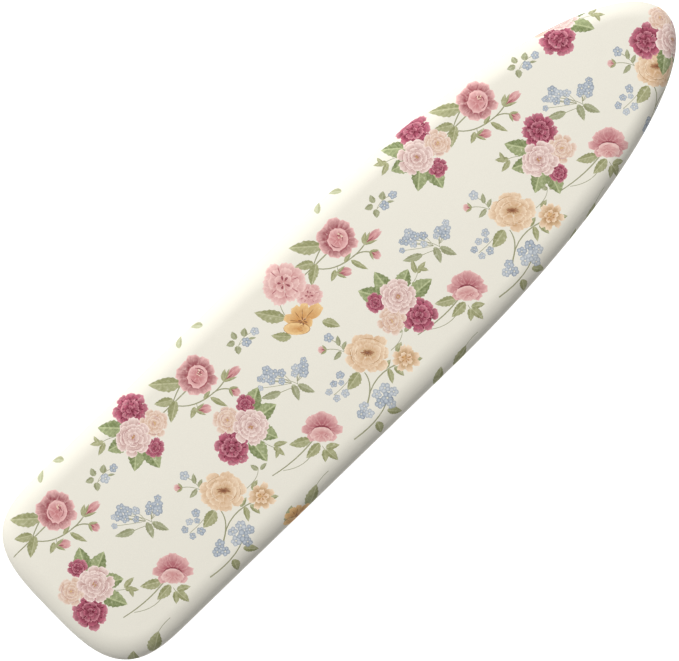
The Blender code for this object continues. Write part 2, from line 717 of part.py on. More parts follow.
def build():
    cover()
    hem_elastic()
    foam_pad()
    mesh_deck()
    deck_rim()
    tail_brace = brace("brace_tail", PIVOT_X)
    mid_brace = brace("brace_mid", MID_BRACE_X)
    nose_brace = brace("brace_nose", NOSE_BRACE_X)
    for side, sign in SIDES:
        pivot_bracket(side, sign, tail_brace)
        pivot_pin(side, sign)
        guide_rail(side, sign, (mid_brace, nose_brace))
    rod_tongue("tongue_mid", MID_BRACE_X + TONGUE_IN, mid_brace)
    rod_tongue("tongue_nose", NOSE_BRACE_X - TONGUE_IN, nose_brace)
    lock_rod()

    outer = leg_frame("outer", PIVOT, OUTER_WAY, OUTER_Y, OUTER_RADIUS, PIN_RADIUS)
    for side, sign in SIDES:
        outer += scissor_joint(side, sign)
    hang(outer, "outer_leg_pivot", PIVOT)
    inner = leg_frame("inner", SLIDER, INNER_WAY, INNER_Y, INNER_RADIUS, AXLE_RADIUS)
    inner.append(leg_spreader())
    hang(inner, "inner_leg_pivot", SCISSOR)
    hang(slider_set(), "slider_pivot", SLIDER)
    hang([lock_yoke(), release_lever(), lever_grip(), lever_spring()], "lever_pivot", SLIDER)


build()
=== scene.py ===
"""Looks for the folding ironing board: printed cover, pad, mesh deck, finishes and studio."""

import json
import math
import random

import bpy
import numpy as np
from mathutils import Matrix, Vector
from mathutils.geometry import delaunay_2d_cdt
from mathutils.kdtree import KDTree


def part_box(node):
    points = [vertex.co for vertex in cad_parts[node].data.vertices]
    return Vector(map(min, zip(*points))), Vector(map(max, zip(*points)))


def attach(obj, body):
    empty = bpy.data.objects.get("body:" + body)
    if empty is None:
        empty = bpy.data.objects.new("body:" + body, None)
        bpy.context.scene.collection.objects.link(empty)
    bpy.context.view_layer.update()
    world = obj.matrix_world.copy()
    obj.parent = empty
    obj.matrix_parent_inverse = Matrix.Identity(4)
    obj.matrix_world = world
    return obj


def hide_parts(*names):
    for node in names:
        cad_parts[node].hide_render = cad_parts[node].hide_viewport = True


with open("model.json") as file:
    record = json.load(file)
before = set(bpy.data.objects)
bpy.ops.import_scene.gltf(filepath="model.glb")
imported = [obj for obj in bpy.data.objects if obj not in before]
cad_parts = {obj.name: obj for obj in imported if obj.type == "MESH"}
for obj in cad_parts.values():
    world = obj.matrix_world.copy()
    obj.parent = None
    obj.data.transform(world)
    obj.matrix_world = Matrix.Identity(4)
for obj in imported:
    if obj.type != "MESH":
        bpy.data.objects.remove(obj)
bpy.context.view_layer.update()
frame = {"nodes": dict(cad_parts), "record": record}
MM = 0.001

# The board's plan: a squarish tail, straight sides and a nearly elliptical nose. A plan's two powers
# say how square its nose and its tail are, and 2 is an ellipse. The steel deck has the CAD model's
# plan, and the cloth fills out the corners of the same box a little more.
COVER_LOW, COVER_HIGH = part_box("fabric_cover")
HALF_LENGTH = (COVER_HIGH.x - COVER_LOW.x) / 2
HALF_WIDTH = (COVER_HIGH.y - COVER_LOW.y) / 2
TOP = COVER_HIGH.z
UNDER = COVER_LOW.z
NOSE_TAPER = 640 * MM
TAIL_ROUND = 150 * MM
NOSE_X = HALF_LENGTH - NOSE_TAPER
TAIL_X = TAIL_ROUND - HALF_LENGTH
CLOTH_PLAN = (2.06, 3.4)
STEEL_PLAN = (2.0, 3.0)
PLAN_SAMPLES = 4000
PERIMETER_STEPS = 2400

# The search for a point's inset halves this range of insets again and again.
INSET_RANGE = (-0.2, 0.12)
INSET_HALVINGS = 36

# The flat top is very slightly domed by the pad.
DOME = 2 * MM

# The cover's section, from the flat top over the crowned edge and round under the rim.
CROWN_WIDTH = 37 * MM
CROWN_DROP = 30 * MM
CROWN_STEPS = 40
TUCK = 9.6 * MM
TUCK_STEPS = 20
HEM_IN = 34 * MM
GATHER_PITCH = 13 * MM
GATHER_DEPTH = 1.3 * MM


# ---------------------------------------------------------------- the cloth's shape


def edge_profile():
    """Arc length, inset and height along the cloth, from the edge of the flat top to the hem."""
    points = []
    for i in range(CROWN_STEPS + 1):
        turn = math.pi / 2 * i / CROWN_STEPS
        points.append((CROWN_WIDTH * (1 - math.sin(turn)), TOP - CROWN_DROP * (1 - math.cos(turn))))
    drop = TOP - CROWN_DROP - UNDER
    for i in range(1, TUCK_STEPS + 1):
        turn = math.pi / 2 * i / TUCK_STEPS
        points.append((TUCK * (1 - math.cos(turn)), TOP - CROWN_DROP - drop * math.sin(turn)))
    points.append((HEM_IN, UNDER))
    points = np.array(points)
    steps = np.hypot(*np.diff(points, axis=0).T)
    return np.concatenate([[0], np.cumsum(steps)]), points[:, 0], points[:, 1]


ARC, ARC_INSET, ARC_HEIGHT = edge_profile()
SIDE_START = ARC[CROWN_STEPS]
HEM_START = ARC[CROWN_STEPS + TUCK_STEPS]
CLOTH_REACH = ARC[-1] - CROWN_WIDTH


def within(x, y, inset, powers=CLOTH_PLAN):
    """True where a point is inside the board's plan pulled in by inset."""
    across = np.abs(y) / (HALF_WIDTH - inset)
    nose = np.maximum(x - NOSE_X, 0) / (NOSE_TAPER - inset)
    tail = np.maximum(TAIL_X - x, 0) / (TAIL_ROUND - inset)
    at_nose = nose ** powers[0] + across ** powers[0]
    at_tail = tail ** powers[1] + across ** powers[1]
    return np.where(x < TAIL_X, at_tail, at_nose) < 1


def inset_of(x, y):
    """How far inside the plan each point lies, negative outside it, along the family of outlines."""
    low, high = (np.full(len(x), end) for end in INSET_RANGE)
    for _ in range(INSET_HALVINGS):
        middle = (low + high) / 2
        inside = within(x, y, middle)
        low = np.where(inside, middle, low)
        high = np.where(inside, high, middle)
    return low


def plan(inset, count, powers=CLOTH_PLAN):
    """The plan pulled in by inset as an even ring of points, counter-clockwise from the nose."""
    turns = np.linspace(0, 2 * math.pi, PLAN_SAMPLES, endpoint=False)
    c, s = np.cos(turns), np.sin(turns)
    ends = []
    for middle, reach, power in zip((NOSE_X, TAIL_X), (NOSE_TAPER, TAIL_ROUND), powers):
        out, up = (np.sign(v) * np.abs(v) ** (2 / power) for v in (c, s))
        ends.append(np.column_stack([middle + (reach - inset) * out, (HALF_WIDTH - inset) * up]))
    ring = np.where((c >= 0)[:, None], *ends)
    closed = np.vstack([ring, ring[:1]])
    run = np.concatenate([[0], np.cumsum(np.hypot(*np.diff(closed, axis=0).T))])
    at = np.linspace(0, run[-1], count, endpoint=False)
    return np.column_stack([np.interp(at, run, closed[:, 0]), np.interp(at, run, closed[:, 1])])


def perimeter_finder():
    """A function giving how far round the board each point is, in metres."""
    ring = plan(0, PERIMETER_STEPS)
    step = np.hypot(*(ring[1] - ring[0]))
    tree = KDTree(len(ring))
    for i, (x, y) in enumerate(ring):
        tree.insert((x, y, 0), i)
    tree.balance()

    def find(points):
        along = np.empty(len(points))
        for i, (x, y) in enumerate(points):
            _, near, _ = tree.find((x, y, 0))
            ahead = ring[(near + 1) % len(ring)] - ring[near]
            along[i] = (near + np.dot((x, y) - ring[near], ahead) / np.dot(ahead, ahead)) * step
        return along

    return find


ROUND_BOARD = perimeter_finder()


def gathers(points):
    """The uneven rise and fall of the gathered hem at points round the board."""
    phase = ROUND_BOARD(points) / GATHER_PITCH * 2 * math.pi
    return np.sin(phase + 1.3 * np.sin(phase * 0.23)) + 0.4 * np.sin(phase * 2.3 + 1)


def drape(flat):
    """Lays points of the flat cloth over the board: (n, 2) in metres to (n, 3)."""
    x, y = flat[:, 0], flat[:, 1]
    inset = inset_of(x, y)
    arc = np.maximum(CROWN_WIDTH - inset, 0)
    over = arc > 0
    on_board = np.where(over, np.interp(arc, ARC, ARC_INSET), inset)
    height = np.where(over, np.interp(arc, ARC, ARC_HEIGHT), TOP)
    nose_scale = (NOSE_TAPER - on_board) / (NOSE_TAPER - inset)
    tail_scale = (TAIL_ROUND - on_board) / (TAIL_ROUND - inset)
    laid_x = np.where(x > NOSE_X, NOSE_X + (x - NOSE_X) * nose_scale, x)
    laid_x = np.where(x < TAIL_X, TAIL_X + (x - TAIL_X) * tail_scale, laid_x)
    laid_y = y * (HALF_WIDTH - on_board) / (HALF_WIDTH - inset)
    gathered = np.clip((arc - SIDE_START) / (ARC[-1] - SIDE_START), 0, 1) ** 2
    hem = gathered > 0
    height[hem] += GATHER_DEPTH * gathered[hem] * gathers(np.column_stack([laid_x, laid_y])[hem])
    height -= DOME * (laid_y / HALF_WIDTH) ** 2 * (1 - gathered)
    return np.column_stack([laid_x, laid_y, height])


def drape_normals(flat):
    """The laid points and the cloth's normals there, from two small steps along the flat cloth."""
    step = 0.4 * MM
    here = drape(flat)
    ahead = drape(flat + (step, 0)) - here
    aside = drape(flat + (0, step)) - here
    normals = np.cross(ahead, aside)
    return here, normals / np.linalg.norm(normals, axis=1)[:, None]


# ---------------------------------------------------------------- inks


def ink(*display):
    """A display colour, 0 to 255, as linear light."""
    return tuple(((c / 255 + 0.055) / 1.055) ** 2.4 for c in display)


GROUND = ink(233, 229, 216)
SAGE = (ink(140, 142, 96), ink(192, 191, 154))
# A paler sage for the leaf pairs on the board's +Y edge: a painted highlight, as if the key light
# washed that edge out.
SAGE_PAINTED_HIGHLIGHT = (ink(164, 166, 128), ink(202, 204, 172))
GREEN = (ink(116, 128, 82), ink(188, 195, 150))
OLIVE = (ink(142, 144, 108), ink(186, 188, 156))
STEM = (ink(148, 148, 114), ink(164, 164, 132))
MAGENTA = (ink(104, 26, 46), ink(190, 100, 122))
MAGENTA_LIGHT = (ink(120, 38, 60), ink(208, 136, 150))
MAGENTA_DARK = (ink(92, 20, 38), ink(112, 32, 52))
BLUSH = (ink(194, 154, 146), ink(242, 222, 214))
BLUSH_LINE = (ink(186, 140, 138), ink(204, 160, 156))
CREAM = (ink(206, 166, 138), ink(236, 216, 202))
ROSE = (ink(148, 72, 80), ink(234, 188, 184))
ROSE_DARK = (ink(140, 66, 76), ink(166, 92, 98))
ROSE_CUP = (ink(198, 128, 130), ink(232, 188, 184))
PINK = (ink(176, 100, 108), ink(228, 182, 178))
PINK_LIGHT = (ink(204, 144, 142), ink(237, 202, 195))
PEACH = (ink(208, 168, 128), ink(242, 220, 193))
PEACH_DEEP = (ink(180, 138, 96), ink(222, 192, 156))
AMBER = (ink(204, 148, 88), ink(235, 198, 142))
AMBER_LINE = (ink(150, 102, 62), ink(184, 134, 84))
BROWN = (ink(128, 82, 58), ink(176, 126, 90))
BLUE = (ink(126, 138, 154), ink(193, 200, 207))
BLUE_PALE = (ink(150, 160, 172), ink(207, 211, 214))
BLUE_EYE = (ink(236, 232, 214), ink(214, 206, 180))
POLLEN = (ink(196, 154, 104), ink(224, 192, 142))


# ---------------------------------------------------------------- drawing on the flat cloth

SHAPES = []
PETAL_POWER = 1.6
PETAL_ROUND = 0.7
LEAF_POWER = 0.76
LEAF_ROUND = 0.9
LEAF_TEETH = 0.07
BROAD_LEAF = 11


def turned(point, angle):
    c, s = math.cos(angle), math.sin(angle)
    return (point[0] * c - point[1] * s, point[0] * s + point[1] * c)


def heading_of(degrees):
    turn = math.radians(degrees)
    return (math.cos(turn), math.sin(turn))


def between(start, end, share):
    return tuple(a + (b - a) * share for a, b in zip(start, end))


class Pen:
    """Draws in a motif's own millimetres or a flower's own radii, turned from the board's axes."""

    def __init__(self, x, y, turn, scale, dice):
        self.x = x
        self.y = y
        self.turn = turn
        self.scale = scale
        self.dice = dice

    def place(self, point):
        x, y = turned(point, self.turn)
        return (self.x + x * self.scale, self.y + y * self.scale)

    def at(self, centre, turn=0, scale=1):
        """A pen with its origin at a point of this one, drawing on with the same dice."""
        turn = self.turn + math.radians(turn)
        return Pen(*self.place(centre), turn, self.scale * scale, self.dice)

    def shape(self, outline, base, along, length, half, inks, radial=0.0, leaf=0.0, rim=0.0):
        """Adds one printed shape. base, along, length and half say where its own u and v run."""
        SHAPES.append({
            "outline": [self.place(p) for p in outline],
            "base": self.place(base),
            "along": turned(along, self.turn),
            "length": length * self.scale,
            "half": half * self.scale,
            "inks": inks,
            "mark": (radial, leaf, rim),
            "seed": self.dice.uniform(0, 40),
        })

    def blade(self, base, tip, width, inks, power, roundness, steps, ruffle,
              leaf=0.0, rim=0.0, bend=0.0):
        """A petal or leaf from base to tip."""
        run = (tip[0] - base[0], tip[1] - base[1])
        length = math.hypot(*run)
        along = (run[0] / length, run[1] / length)
        across = (-along[1], along[0])
        sides = ([], [])
        for i in range(1, steps):
            v = i / steps
            wide = math.sin(math.pi * v**power) ** roundness
            for side, sign in zip(sides, (1, -1)):
                jitter = 1 + ruffle * self.dice.uniform(-1, 1)
                if leaf:
                    jitter += LEAF_TEETH * (1 if i % 2 else -1)
                off = sign * width / 2 * wide * jitter + bend * width * v * (1 - v) * 2
                out = length * (v + ruffle * 0.25 * self.dice.uniform(-1, 1) * wide)
                side.append((base[0] + along[0] * out + across[0] * off,
                             base[1] + along[1] * out + across[1] * off))
        outline = [base] + sides[1] + [tip] + sides[0][::-1]
        if not leaf:
            outline[steps] = between(base, tip, 1 - ruffle * self.dice.uniform(0.1, 0.9))
        self.shape(outline, base, along, length, width / 2, inks, 0.0, leaf, rim)

    def crease(self, heading, start, end, width, inks):
        """A short stroke out from the pen's own origin, along heading degrees."""
        x, y = heading_of(heading)
        base, tip = (x * start, y * start), (x * end, y * end)
        self.blade(base, tip, width, inks, PETAL_POWER, PETAL_ROUND, 4, 0.05)

    def frill(self, heading, start, end, width, inks, teeth, ruffle, rim, squash=1.0):
        """A broad petal out from the pen's own origin, with a wavy outer edge."""
        way = heading_of(heading)
        side = [(0.20, 0.0), (0.66, 0.28), (0.96, 0.56)]
        crest = []
        for k in range(2 * teeth + 1):
            u = 1 - k / teeth
            wave = ruffle * (0.6 if k % 2 else -0.6) + ruffle * self.dice.uniform(-0.7, 0.7)
            crest.append((math.copysign(abs(u) ** 0.8, u) * 0.98, 1 - 0.30 * abs(u) ** 2.6 + wave))
        outline = []
        for u, v in side + crest + [(-u, v) for u, v in side[::-1]]:
            out = start + (end - start) * v
            off = -u * width / 2
            outline.append((way[0] * out - way[1] * off, (way[1] * out + way[0] * off) * squash))
        base = (way[0] * start, way[1] * start * squash)
        self.shape(outline, base, way, end - start, width / 2, inks, rim=rim)

    def leaf(self, base, tip, width, inks=SAGE, bend=0.15):
        steps = 13 if width > BROAD_LEAF else 7
        self.blade(base, tip, width, inks, LEAF_POWER, LEAF_ROUND, steps, 0.04, 1.0, 0.0, bend)

    def disc(self, centre, radius, inks, wobble, squash=1.0, points=12, rim=0.0):
        outline = []
        for i in range(points):
            x, y = heading_of(360 * i / points)
            r = radius * (1 + wobble * self.dice.uniform(-1, 1))
            outline.append((centre[0] + r * x, centre[1] + r * squash * y))
        self.shape(outline, centre, (1, 0), radius, radius * squash, inks, 1.0, 0.0, rim)

    def arc(self, centre, radius, start, sweep, width, inks, squash):
        """A crescent along part of a circle, tapering to its ends."""
        steps = max(3, int(sweep / 22))
        outer, inner = [], []
        for i in range(steps + 1):
            x, y = heading_of(start + sweep * i / steps)
            half = width / 2 * math.sin(math.pi * (0.1 + 0.8 * i / steps))
            for side, reach in ((outer, radius + half), (inner, radius - half)):
                side.append((centre[0] + reach * x, centre[1] + reach * squash * y))
        self.shape(outer + inner[::-1], centre, (1, 0), radius * 3, radius * 3, inks)

    def stem(self, start, bow, end, width=2.0, inks=STEM, steps=7):
        """A tapering stroke along a curve from start to end, pulled towards bow."""
        left, right = [], []
        for i in range(steps + 1):
            t = i / steps
            x, y = between(between(start, bow, t), between(bow, end, t), t)
            dx = (bow[0] - start[0]) * (1 - t) + (end[0] - bow[0]) * t
            dy = (bow[1] - start[1]) * (1 - t) + (end[1] - bow[1]) * t
            size = math.hypot(dx, dy)
            off = width / 2 * (0.75 + 0.4 * t)
            left.append((x - dy / size * off, y + dx / size * off))
            right.append((x + dy / size * off, y - dx / size * off))
        run = (end[0] - start[0], end[1] - start[1])
        length = math.hypot(*run)
        along = (run[0] / length, run[1] / length)
        self.shape(right + left[::-1], start, along, length, width * 8, inks)


# ---------------------------------------------------------------- flowers

# Each flower is drawn in its own radii. Most stand upright when the nose points to the upper right.
UPRIGHT = -44


def whorl(pen, rings, teeth, ruffle, rim, squash=1.0):
    """Rings of overlapping petals, outermost first, each (count, reach, root, width, inks)."""
    for count, reach, root, width, inks in rings:
        first = pen.dice.uniform(0, 360)
        order = list(range(count))
        pen.dice.shuffle(order)
        for i in order:
            heading = first + 360 * i / count + pen.dice.uniform(-9, 9)
            far = reach * pen.dice.uniform(0.90, 1.06)
            pen.frill(heading, root, far, width, inks, teeth, ruffle, rim, squash)


def lobes(pen, root, petals, inks):
    """Separate petals, each (heading, reach, width)."""
    for heading, reach, width in petals:
        pen.frill(heading, root, reach, width, inks, 2, 0.05, 0.3)


def swirl(pen, count, low, high, width, inks, squash=1.0):
    """Tapering arcs that suggest the rolled edges of inner petals."""
    for i in range(count):
        reach = low + (high - low) * (i + 0.5) / count
        start = pen.dice.uniform(0, 360)
        sweep = pen.dice.uniform(35, 85)
        pen.arc((0, 0), reach, start, sweep, width * pen.dice.uniform(0.7, 1.3), inks, squash)


def throat(pen, count, low, high, width, inks, squash=1.0):
    """Short dark strokes that run out between the inner petals."""
    first = pen.dice.uniform(0, 360)
    for i in range(count):
        heading = first + 360 * i / count + pen.dice.uniform(-16, 16)
        far = low + (high - low) * pen.dice.uniform(0.5, 1)
        far *= 1 - (1 - squash) * abs(math.sin(math.radians(heading)))
        pen.crease(heading, low, far, width, inks)


def stamens(pen, centre, radius, count, size, inks):
    for _ in range(count):
        turn = pen.dice.uniform(0, 2 * math.pi)
        reach = radius * math.sqrt(pen.dice.random())
        dot = (centre[0] + reach * math.cos(turn), centre[1] + reach * math.sin(turn))
        pen.disc(dot, size, inks, 0.2, points=6)


def magenta_rose(pen):
    """A tight ruffled flower, dark between its petals."""
    pen.disc((0, 0), 0.76, MAGENTA_DARK, 0.05)
    rings = (
        (8, 1.00, 0.46, 0.66, MAGENTA_LIGHT),
        (7, 0.78, 0.30, 0.56, MAGENTA),
        (6, 0.58, 0.16, 0.48, MAGENTA_LIGHT),
        (4, 0.38, 0.04, 0.40, MAGENTA),
        (2, 0.22, 0.00, 0.28, MAGENTA_LIGHT),
    )
    whorl(pen, rings, 3, 0.09, 0.5)
    throat(pen, 6, 0.26, 0.54, 0.07, MAGENTA_DARK)
    throat(pen, 5, 0.56, 0.84, 0.06, MAGENTA_DARK)


def pale_rose(pen, inks, heart):
    """A full pale rose, shaded between its wavy petals, round a small warm heart."""
    pen.disc((0, 0), 0.74, inks, 0.05)
    rings = ((8, 1.00, 0.46, 0.64), (7, 0.77, 0.30, 0.56), (6, 0.55, 0.14, 0.46),
             (4, 0.33, 0.02, 0.34))
    whorl(pen, [(*ring, inks) for ring in rings], 3, 0.07, 0.5)
    swirl(pen, 6, 0.30, 0.80, 0.035, BLUSH_LINE)
    throat(pen, 5, 0.04, 0.24, 0.08, BLUSH_LINE)
    stamens(pen, (0.03, 0), 0.10, 5, 0.05, heart)


def open_rose(pen):
    """A rose with separate outer petals round a pale, half-closed cup."""
    pen.disc((0, -0.04), 0.74, ROSE_DARK, 0.05, points=14)
    petals = ((140, 0.88, 0.62), (22, 0.92, 0.60), (62, 0.96, 0.64), (102, 1.02, 0.70),
              (174, 1.00, 0.68), (218, 0.95, 0.76), (262, 0.96, 0.74), (304, 0.98, 0.72),
              (345, 1.06, 0.54))
    lobes(pen, 0.36, petals, ROSE)
    cup = pen.at((0.05, -0.05))
    cup.disc((0, 0), 0.54, ROSE_DARK, 0.05, 1.06, 14)
    cup.disc((0.02, 0.02), 0.49, ROSE_CUP, 0.04, 1.1, 14)
    for heading, reach in ((120, 0.50), (60, 0.48), (200, 0.50), (330, 0.48), (262, 0.52)):
        cup.frill(heading, 0.08, reach, 0.50, ROSE_CUP, 2, 0.08, 0.45, 1.08)
    swirl(cup, 3, 0.20, 0.44, 0.04, ROSE_DARK)
    throat(cup.at((0.10, 0.16)), 5, 0.02, 0.16, 0.06, ROSE_DARK)
    stamens(cup, (0.10, 0.20), 0.14, 6, 0.035, (BLUSH[1], POLLEN[1]))


def wild_rose(pen):
    """A rose seen from the side: a scalloped fan of petals behind a pale cup."""
    petals = ((182, 1.16, 0.60), (358, 1.18, 0.60), (146, 1.02, 0.70), (34, 1.02, 0.70),
              (116, 0.96, 0.68), (64, 0.96, 0.68), (90, 1.00, 0.66), (218, 0.98, 0.60),
              (322, 0.98, 0.60))
    lobes(pen, 0.16, petals, PINK)
    pen.arc((0, -0.20), 0.50, 4, 172, 0.26, ROSE_DARK, 0.66)
    throat(pen.at((0, -0.1)), 7, 0.16, 0.52, 0.08, ROSE_DARK, 0.8)
    cup = pen.at((0, -0.26))
    cup.disc((0, 0), 0.60, PINK_LIGHT, 0.06, 0.62, 14)
    for heading, reach in ((200, 0.68), (340, 0.68), (238, 0.62), (302, 0.62), (270, 0.60)):
        cup.frill(heading, 0.10, reach, 0.50, PINK_LIGHT, 2, 0.08, 0.40, 0.8)
    swirl(cup, 2, 0.20, 0.40, 0.035, PINK[:1] * 2, 0.7)


def carnation(pen, squash=1.0):
    """A loose fringed flower, deep rose between the folds of its throat."""
    rings = ((8, 1.00, 0.26, 0.74), (6, 0.74, 0.12, 0.58), (4, 0.44, 0.02, 0.42))
    whorl(pen, [(*ring, PINK_LIGHT) for ring in rings], 4, 0.07, 0.3, squash)
    throat(pen, 5, 0.10, 0.40, 0.11, ROSE_DARK, squash)
    throat(pen, 6, 0.40, 0.84, 0.05, PINK[:1] * 2, squash)


def poppy(pen):
    """A broad soft flower with an oval dark heart of stamens."""
    rings = ((9, 1.02, 0.40, 0.64), (8, 0.80, 0.28, 0.60), (6, 0.58, 0.14, 0.52))
    whorl(pen, [(*ring, PEACH) for ring in rings], 3, 0.07, 0.45, 0.84)
    swirl(pen, 5, 0.45, 0.85, 0.025, PEACH_DEEP[:1] * 2, 0.82)
    heart = (0, 0.04)
    pen.disc(heart, 0.36, PEACH_DEEP, 0.12, 0.56)
    count = 13
    for i in range(count):
        turn = 2 * math.pi * i / count + pen.dice.uniform(-0.2, 0.2)
        reach = pen.dice.uniform(0.24, 0.34)
        end = (heart[0] + reach * math.cos(turn), heart[1] + reach * 0.46 * math.sin(turn))
        x, y = between(heart, end, 0.5)
        pen.stem(heart, (x, y + 0.5 / pen.scale), end, 1.3 / pen.scale, BROWN, 2)
    pen.disc(heart, 0.18, BROWN, 0.2, 0.5, 9)


def peach_pompon(pen):
    """A smaller ruffled flower in deeper peach, turned away."""
    pen.disc((0, 0), 0.70, PEACH_DEEP, 0.08)
    rings = ((8, 1.02, 0.34, 0.54, PEACH), (7, 0.78, 0.20, 0.48, PEACH_DEEP),
             (5, 0.50, 0.06, 0.40, PEACH))
    whorl(pen, rings, 2, 0.11, 0.35)
    throat(pen, 6, 0.08, 0.46, 0.10, AMBER_LINE[1:] * 2)
    stamens(pen, (-0.1, 0.1), 0.16, 5, 0.06, (AMBER[0], POLLEN[1]))


def amber_flower(pen):
    """A loose amber flower of a few broad, creased petals over a rolled lower one."""
    pen.disc((0.04, -0.02), 0.42, AMBER, 0.06, 0.9)
    lobed = ((42, 1.24, 0.66), (166, 0.94, 0.52), (120, 0.88, 0.62), (84, 0.94, 0.54))
    for heading, reach, width in lobed:
        pen.frill(heading, 0, reach, width, AMBER, 2, 0.04, 0.2)
        pen.crease(heading + 7, 0.20, reach * 0.72, 0.05, AMBER_LINE)
    pen.frill(352, 0.02, 0.50, 0.52, AMBER, 2, 0.04, 0.2)
    low = pen.at((-0.30, -0.34))
    low.disc((0.02, 0.02), 0.66, AMBER_LINE, 0.04, 0.50, 16)
    low.disc((0, 0), 0.63, AMBER, 0.05, 0.48, 16, 0.3)
    swirl(low, 3, 0.22, 0.46, 0.04, AMBER_LINE[1:] * 2, 0.5)
    throat(pen.at((0.02, 0.04)), 6, 0.02, 0.30, 0.08, BROWN)


def blue_flowers(pen, *flowers):
    """Small five-petalled blue flowers, each its x, y and radius."""
    for x, y, radius in flowers:
        first = pen.dice.uniform(0, 72)
        inks = BLUE if pen.dice.random() < 0.6 else BLUE_PALE
        flower = pen.at((x, y), 0, radius)
        for i in range(5):
            turn = math.radians(first + 72 * i + pen.dice.uniform(-8, 8))
            centre = (0.56 * math.cos(turn), 0.56 * math.sin(turn))
            flower.disc(centre, pen.dice.uniform(0.40, 0.54), inks[::-1], 0.12, points=7)
        flower.disc((0, 0), 0.17, BLUE_EYE, 0.1, points=6)


def blue_spray(pen, root, *flowers):
    for x, y, _ in flowers:
        pen.stem(root, ((root[0] + x) / 2 + 2, (root[1] + y) / 2 - 3), (x, y), 0.8, STEM, 4)
    blue_flowers(pen, *flowers)


def bud(pen, base, tip, width, inks=PINK):
    """A bud of overlapping petals between two sepals."""
    x, y = tip[0] - base[0], tip[1] - base[1]
    size = math.hypot(x, y)
    side = (-y / size * width * 0.5, x / size * width * 0.5)
    middle = between(base, tip, 0.55)

    def aside(point, shift):
        return (point[0] + side[0] * shift, point[1] + side[1] * shift)

    for shift, wide, colours in ((0.35, 0.86, inks), (-0.45, 0.66, inks), (0.02, 0.34, ROSE_CUP)):
        pen.blade(base, aside(tip, shift), width * wide, colours, 1.1, 0.8, 5, 0.04, rim=0.35)
    pen.blade(base, aside(middle, -0.2), width * 0.12, ROSE_DARK, 1.1, 0.8, 4, 0.04)
    for shift in (1.3, -1.3):
        pen.leaf(between(base, tip, -0.12), aside(middle, shift), width * 0.34, SAGE, 0)


# ---------------------------------------------------------------- motifs


def stems(pen, *rows):
    """Stems, each row the x, y of its start, bow and end and, where it isn't 2, its width."""
    for x0, y0, x1, y1, x2, y2, *width in rows:
        pen.stem((x0, y0), (x1, y1), (x2, y2), *width)


def leaves(pen, inks, *rows):
    """Leaves of one colour, each row the x, y of its base and tip, its width and any other bend."""
    for x0, y0, x1, y1, width, *bend in rows:
        pen.leaf((x0, y0), (x1, y1), width, inks, *bend)


def rose_stem_motif(pen):
    """A: an open rose with leaves behind it and three buds below."""
    stems(pen, (-103, -5, -66, -7, -26, -6), (-56, -5, -44, 2, -24, 8),
          (-60, -6, -44, -34, -6, -38), (-6, -38, 10, -41, 30, -36), (-2, -38, 16, -40, 24, -54),
          (-30, -32, -34, -36, -35, -42, 1.1))
    leaves(pen, SAGE, (-25, 8, -66, 43, 23), (-53, -2, -80, 14, 15),
           (-51, -6, -81, -26, 16, -0.2), (-36, -34, -54, -43, 9), (-8, -40, 2, -70, 9, -0.15),
           (24, -36, 40, -24, 8), (-18, -36, 0, -32, 7))
    bud(pen, (-37, -41), (-18, -54), 15)
    bud(pen, (24, -53), (29, -70), 14)
    bud(pen, (28, -37), (60, -38), 14)
    open_rose(pen.at((0, 0), UPRIGHT, 33))


def bouquet_motif(pen):
    """B: two pale roses and two magenta ones among leaves."""
    stems(pen, (-22, 22, -36, 30, -50, 30, 1.0))
    leaves(pen, SAGE, (-38, 28, -58, 40, 9), (-38, 26, -60, 18, 9), (-46, 30, -44, 46, 7))
    leaves(pen, GREEN, (0, 20, -31, 52, 27, 0.1), (-12, 4, -44, 13, 25, 0.1),
           (-4, -12, -36, -40, 27, 0.1), (4, -24, -4, -64, 28, 0.1))
    magenta_rose(pen.at((13, -35), 0, 16))
    magenta_rose(pen.at((27, 36), 0, 29))
    pale_rose(pen.at((39, -7), 0, 23), CREAM, POLLEN)
    pale_rose(pen.at((0, 0), 0, 30), BLUSH, (BROWN[1], POLLEN[0]))


def poppy_motif(pen):
    """C: a peach poppy with a smaller amber one, buds and blue flowers."""
    stems(pen, (-22, 22, -30, 44, -46, 52, 1.0), (-24, 26, -20, 42, -27, 58, 1.0),
          (-24, -18, -26, -40, -54, -56), (-58, -60, -24, -28, 22, -44),
          (-24, -72, -56, -92, -110, -83), (-42, -8, -62, -12, -84, -10, 0.9),
          (63, -14, 52, -24, 30, -22, 1.0))
    leaves(pen, OLIVE, (64, -14, 60, 1, 8), (66, -16, 81, -15, 7), (-24, 40, -14, 54, 8),
           (-27, 32, -46, 30, 8), (-24, 32, -10, 38, 7))
    leaves(pen, SAGE, (-30, -12, -63, -19, 20), (2, -36, 20, -32, 9), (34, -30, 52, -24, 9),
           (8, -40, -5, -62, 10), (16, -44, 17, -66, 10), (44, -58, 58, -66, 8),
           (-64, -88, -72, -110, 14), (-40, -86, -24, -108, 13))
    bud(pen, (-44, 50), (-52, 60), 12, PINK_LIGHT)
    blue_flowers(pen, (-27, 61, 8), (-86, -1, 6), (-72, 3, 6), (-55, 6, 7), (-84, -17, 6),
                 (-69, -20, 7), (-62, -4, 5), (-74, -62, 8), (-62, -56, 8), (-64, -70, 8),
                 (-34, -56, 8), (-18, -58, 9), (-40, -70, 9), (-26, -72, 10), (-12, -72, 8),
                 (-28, -84, 8))
    peach_pompon(pen.at((38, -48), UPRIGHT, 22))
    poppy(pen.at((0, 0), UPRIGHT, 37))


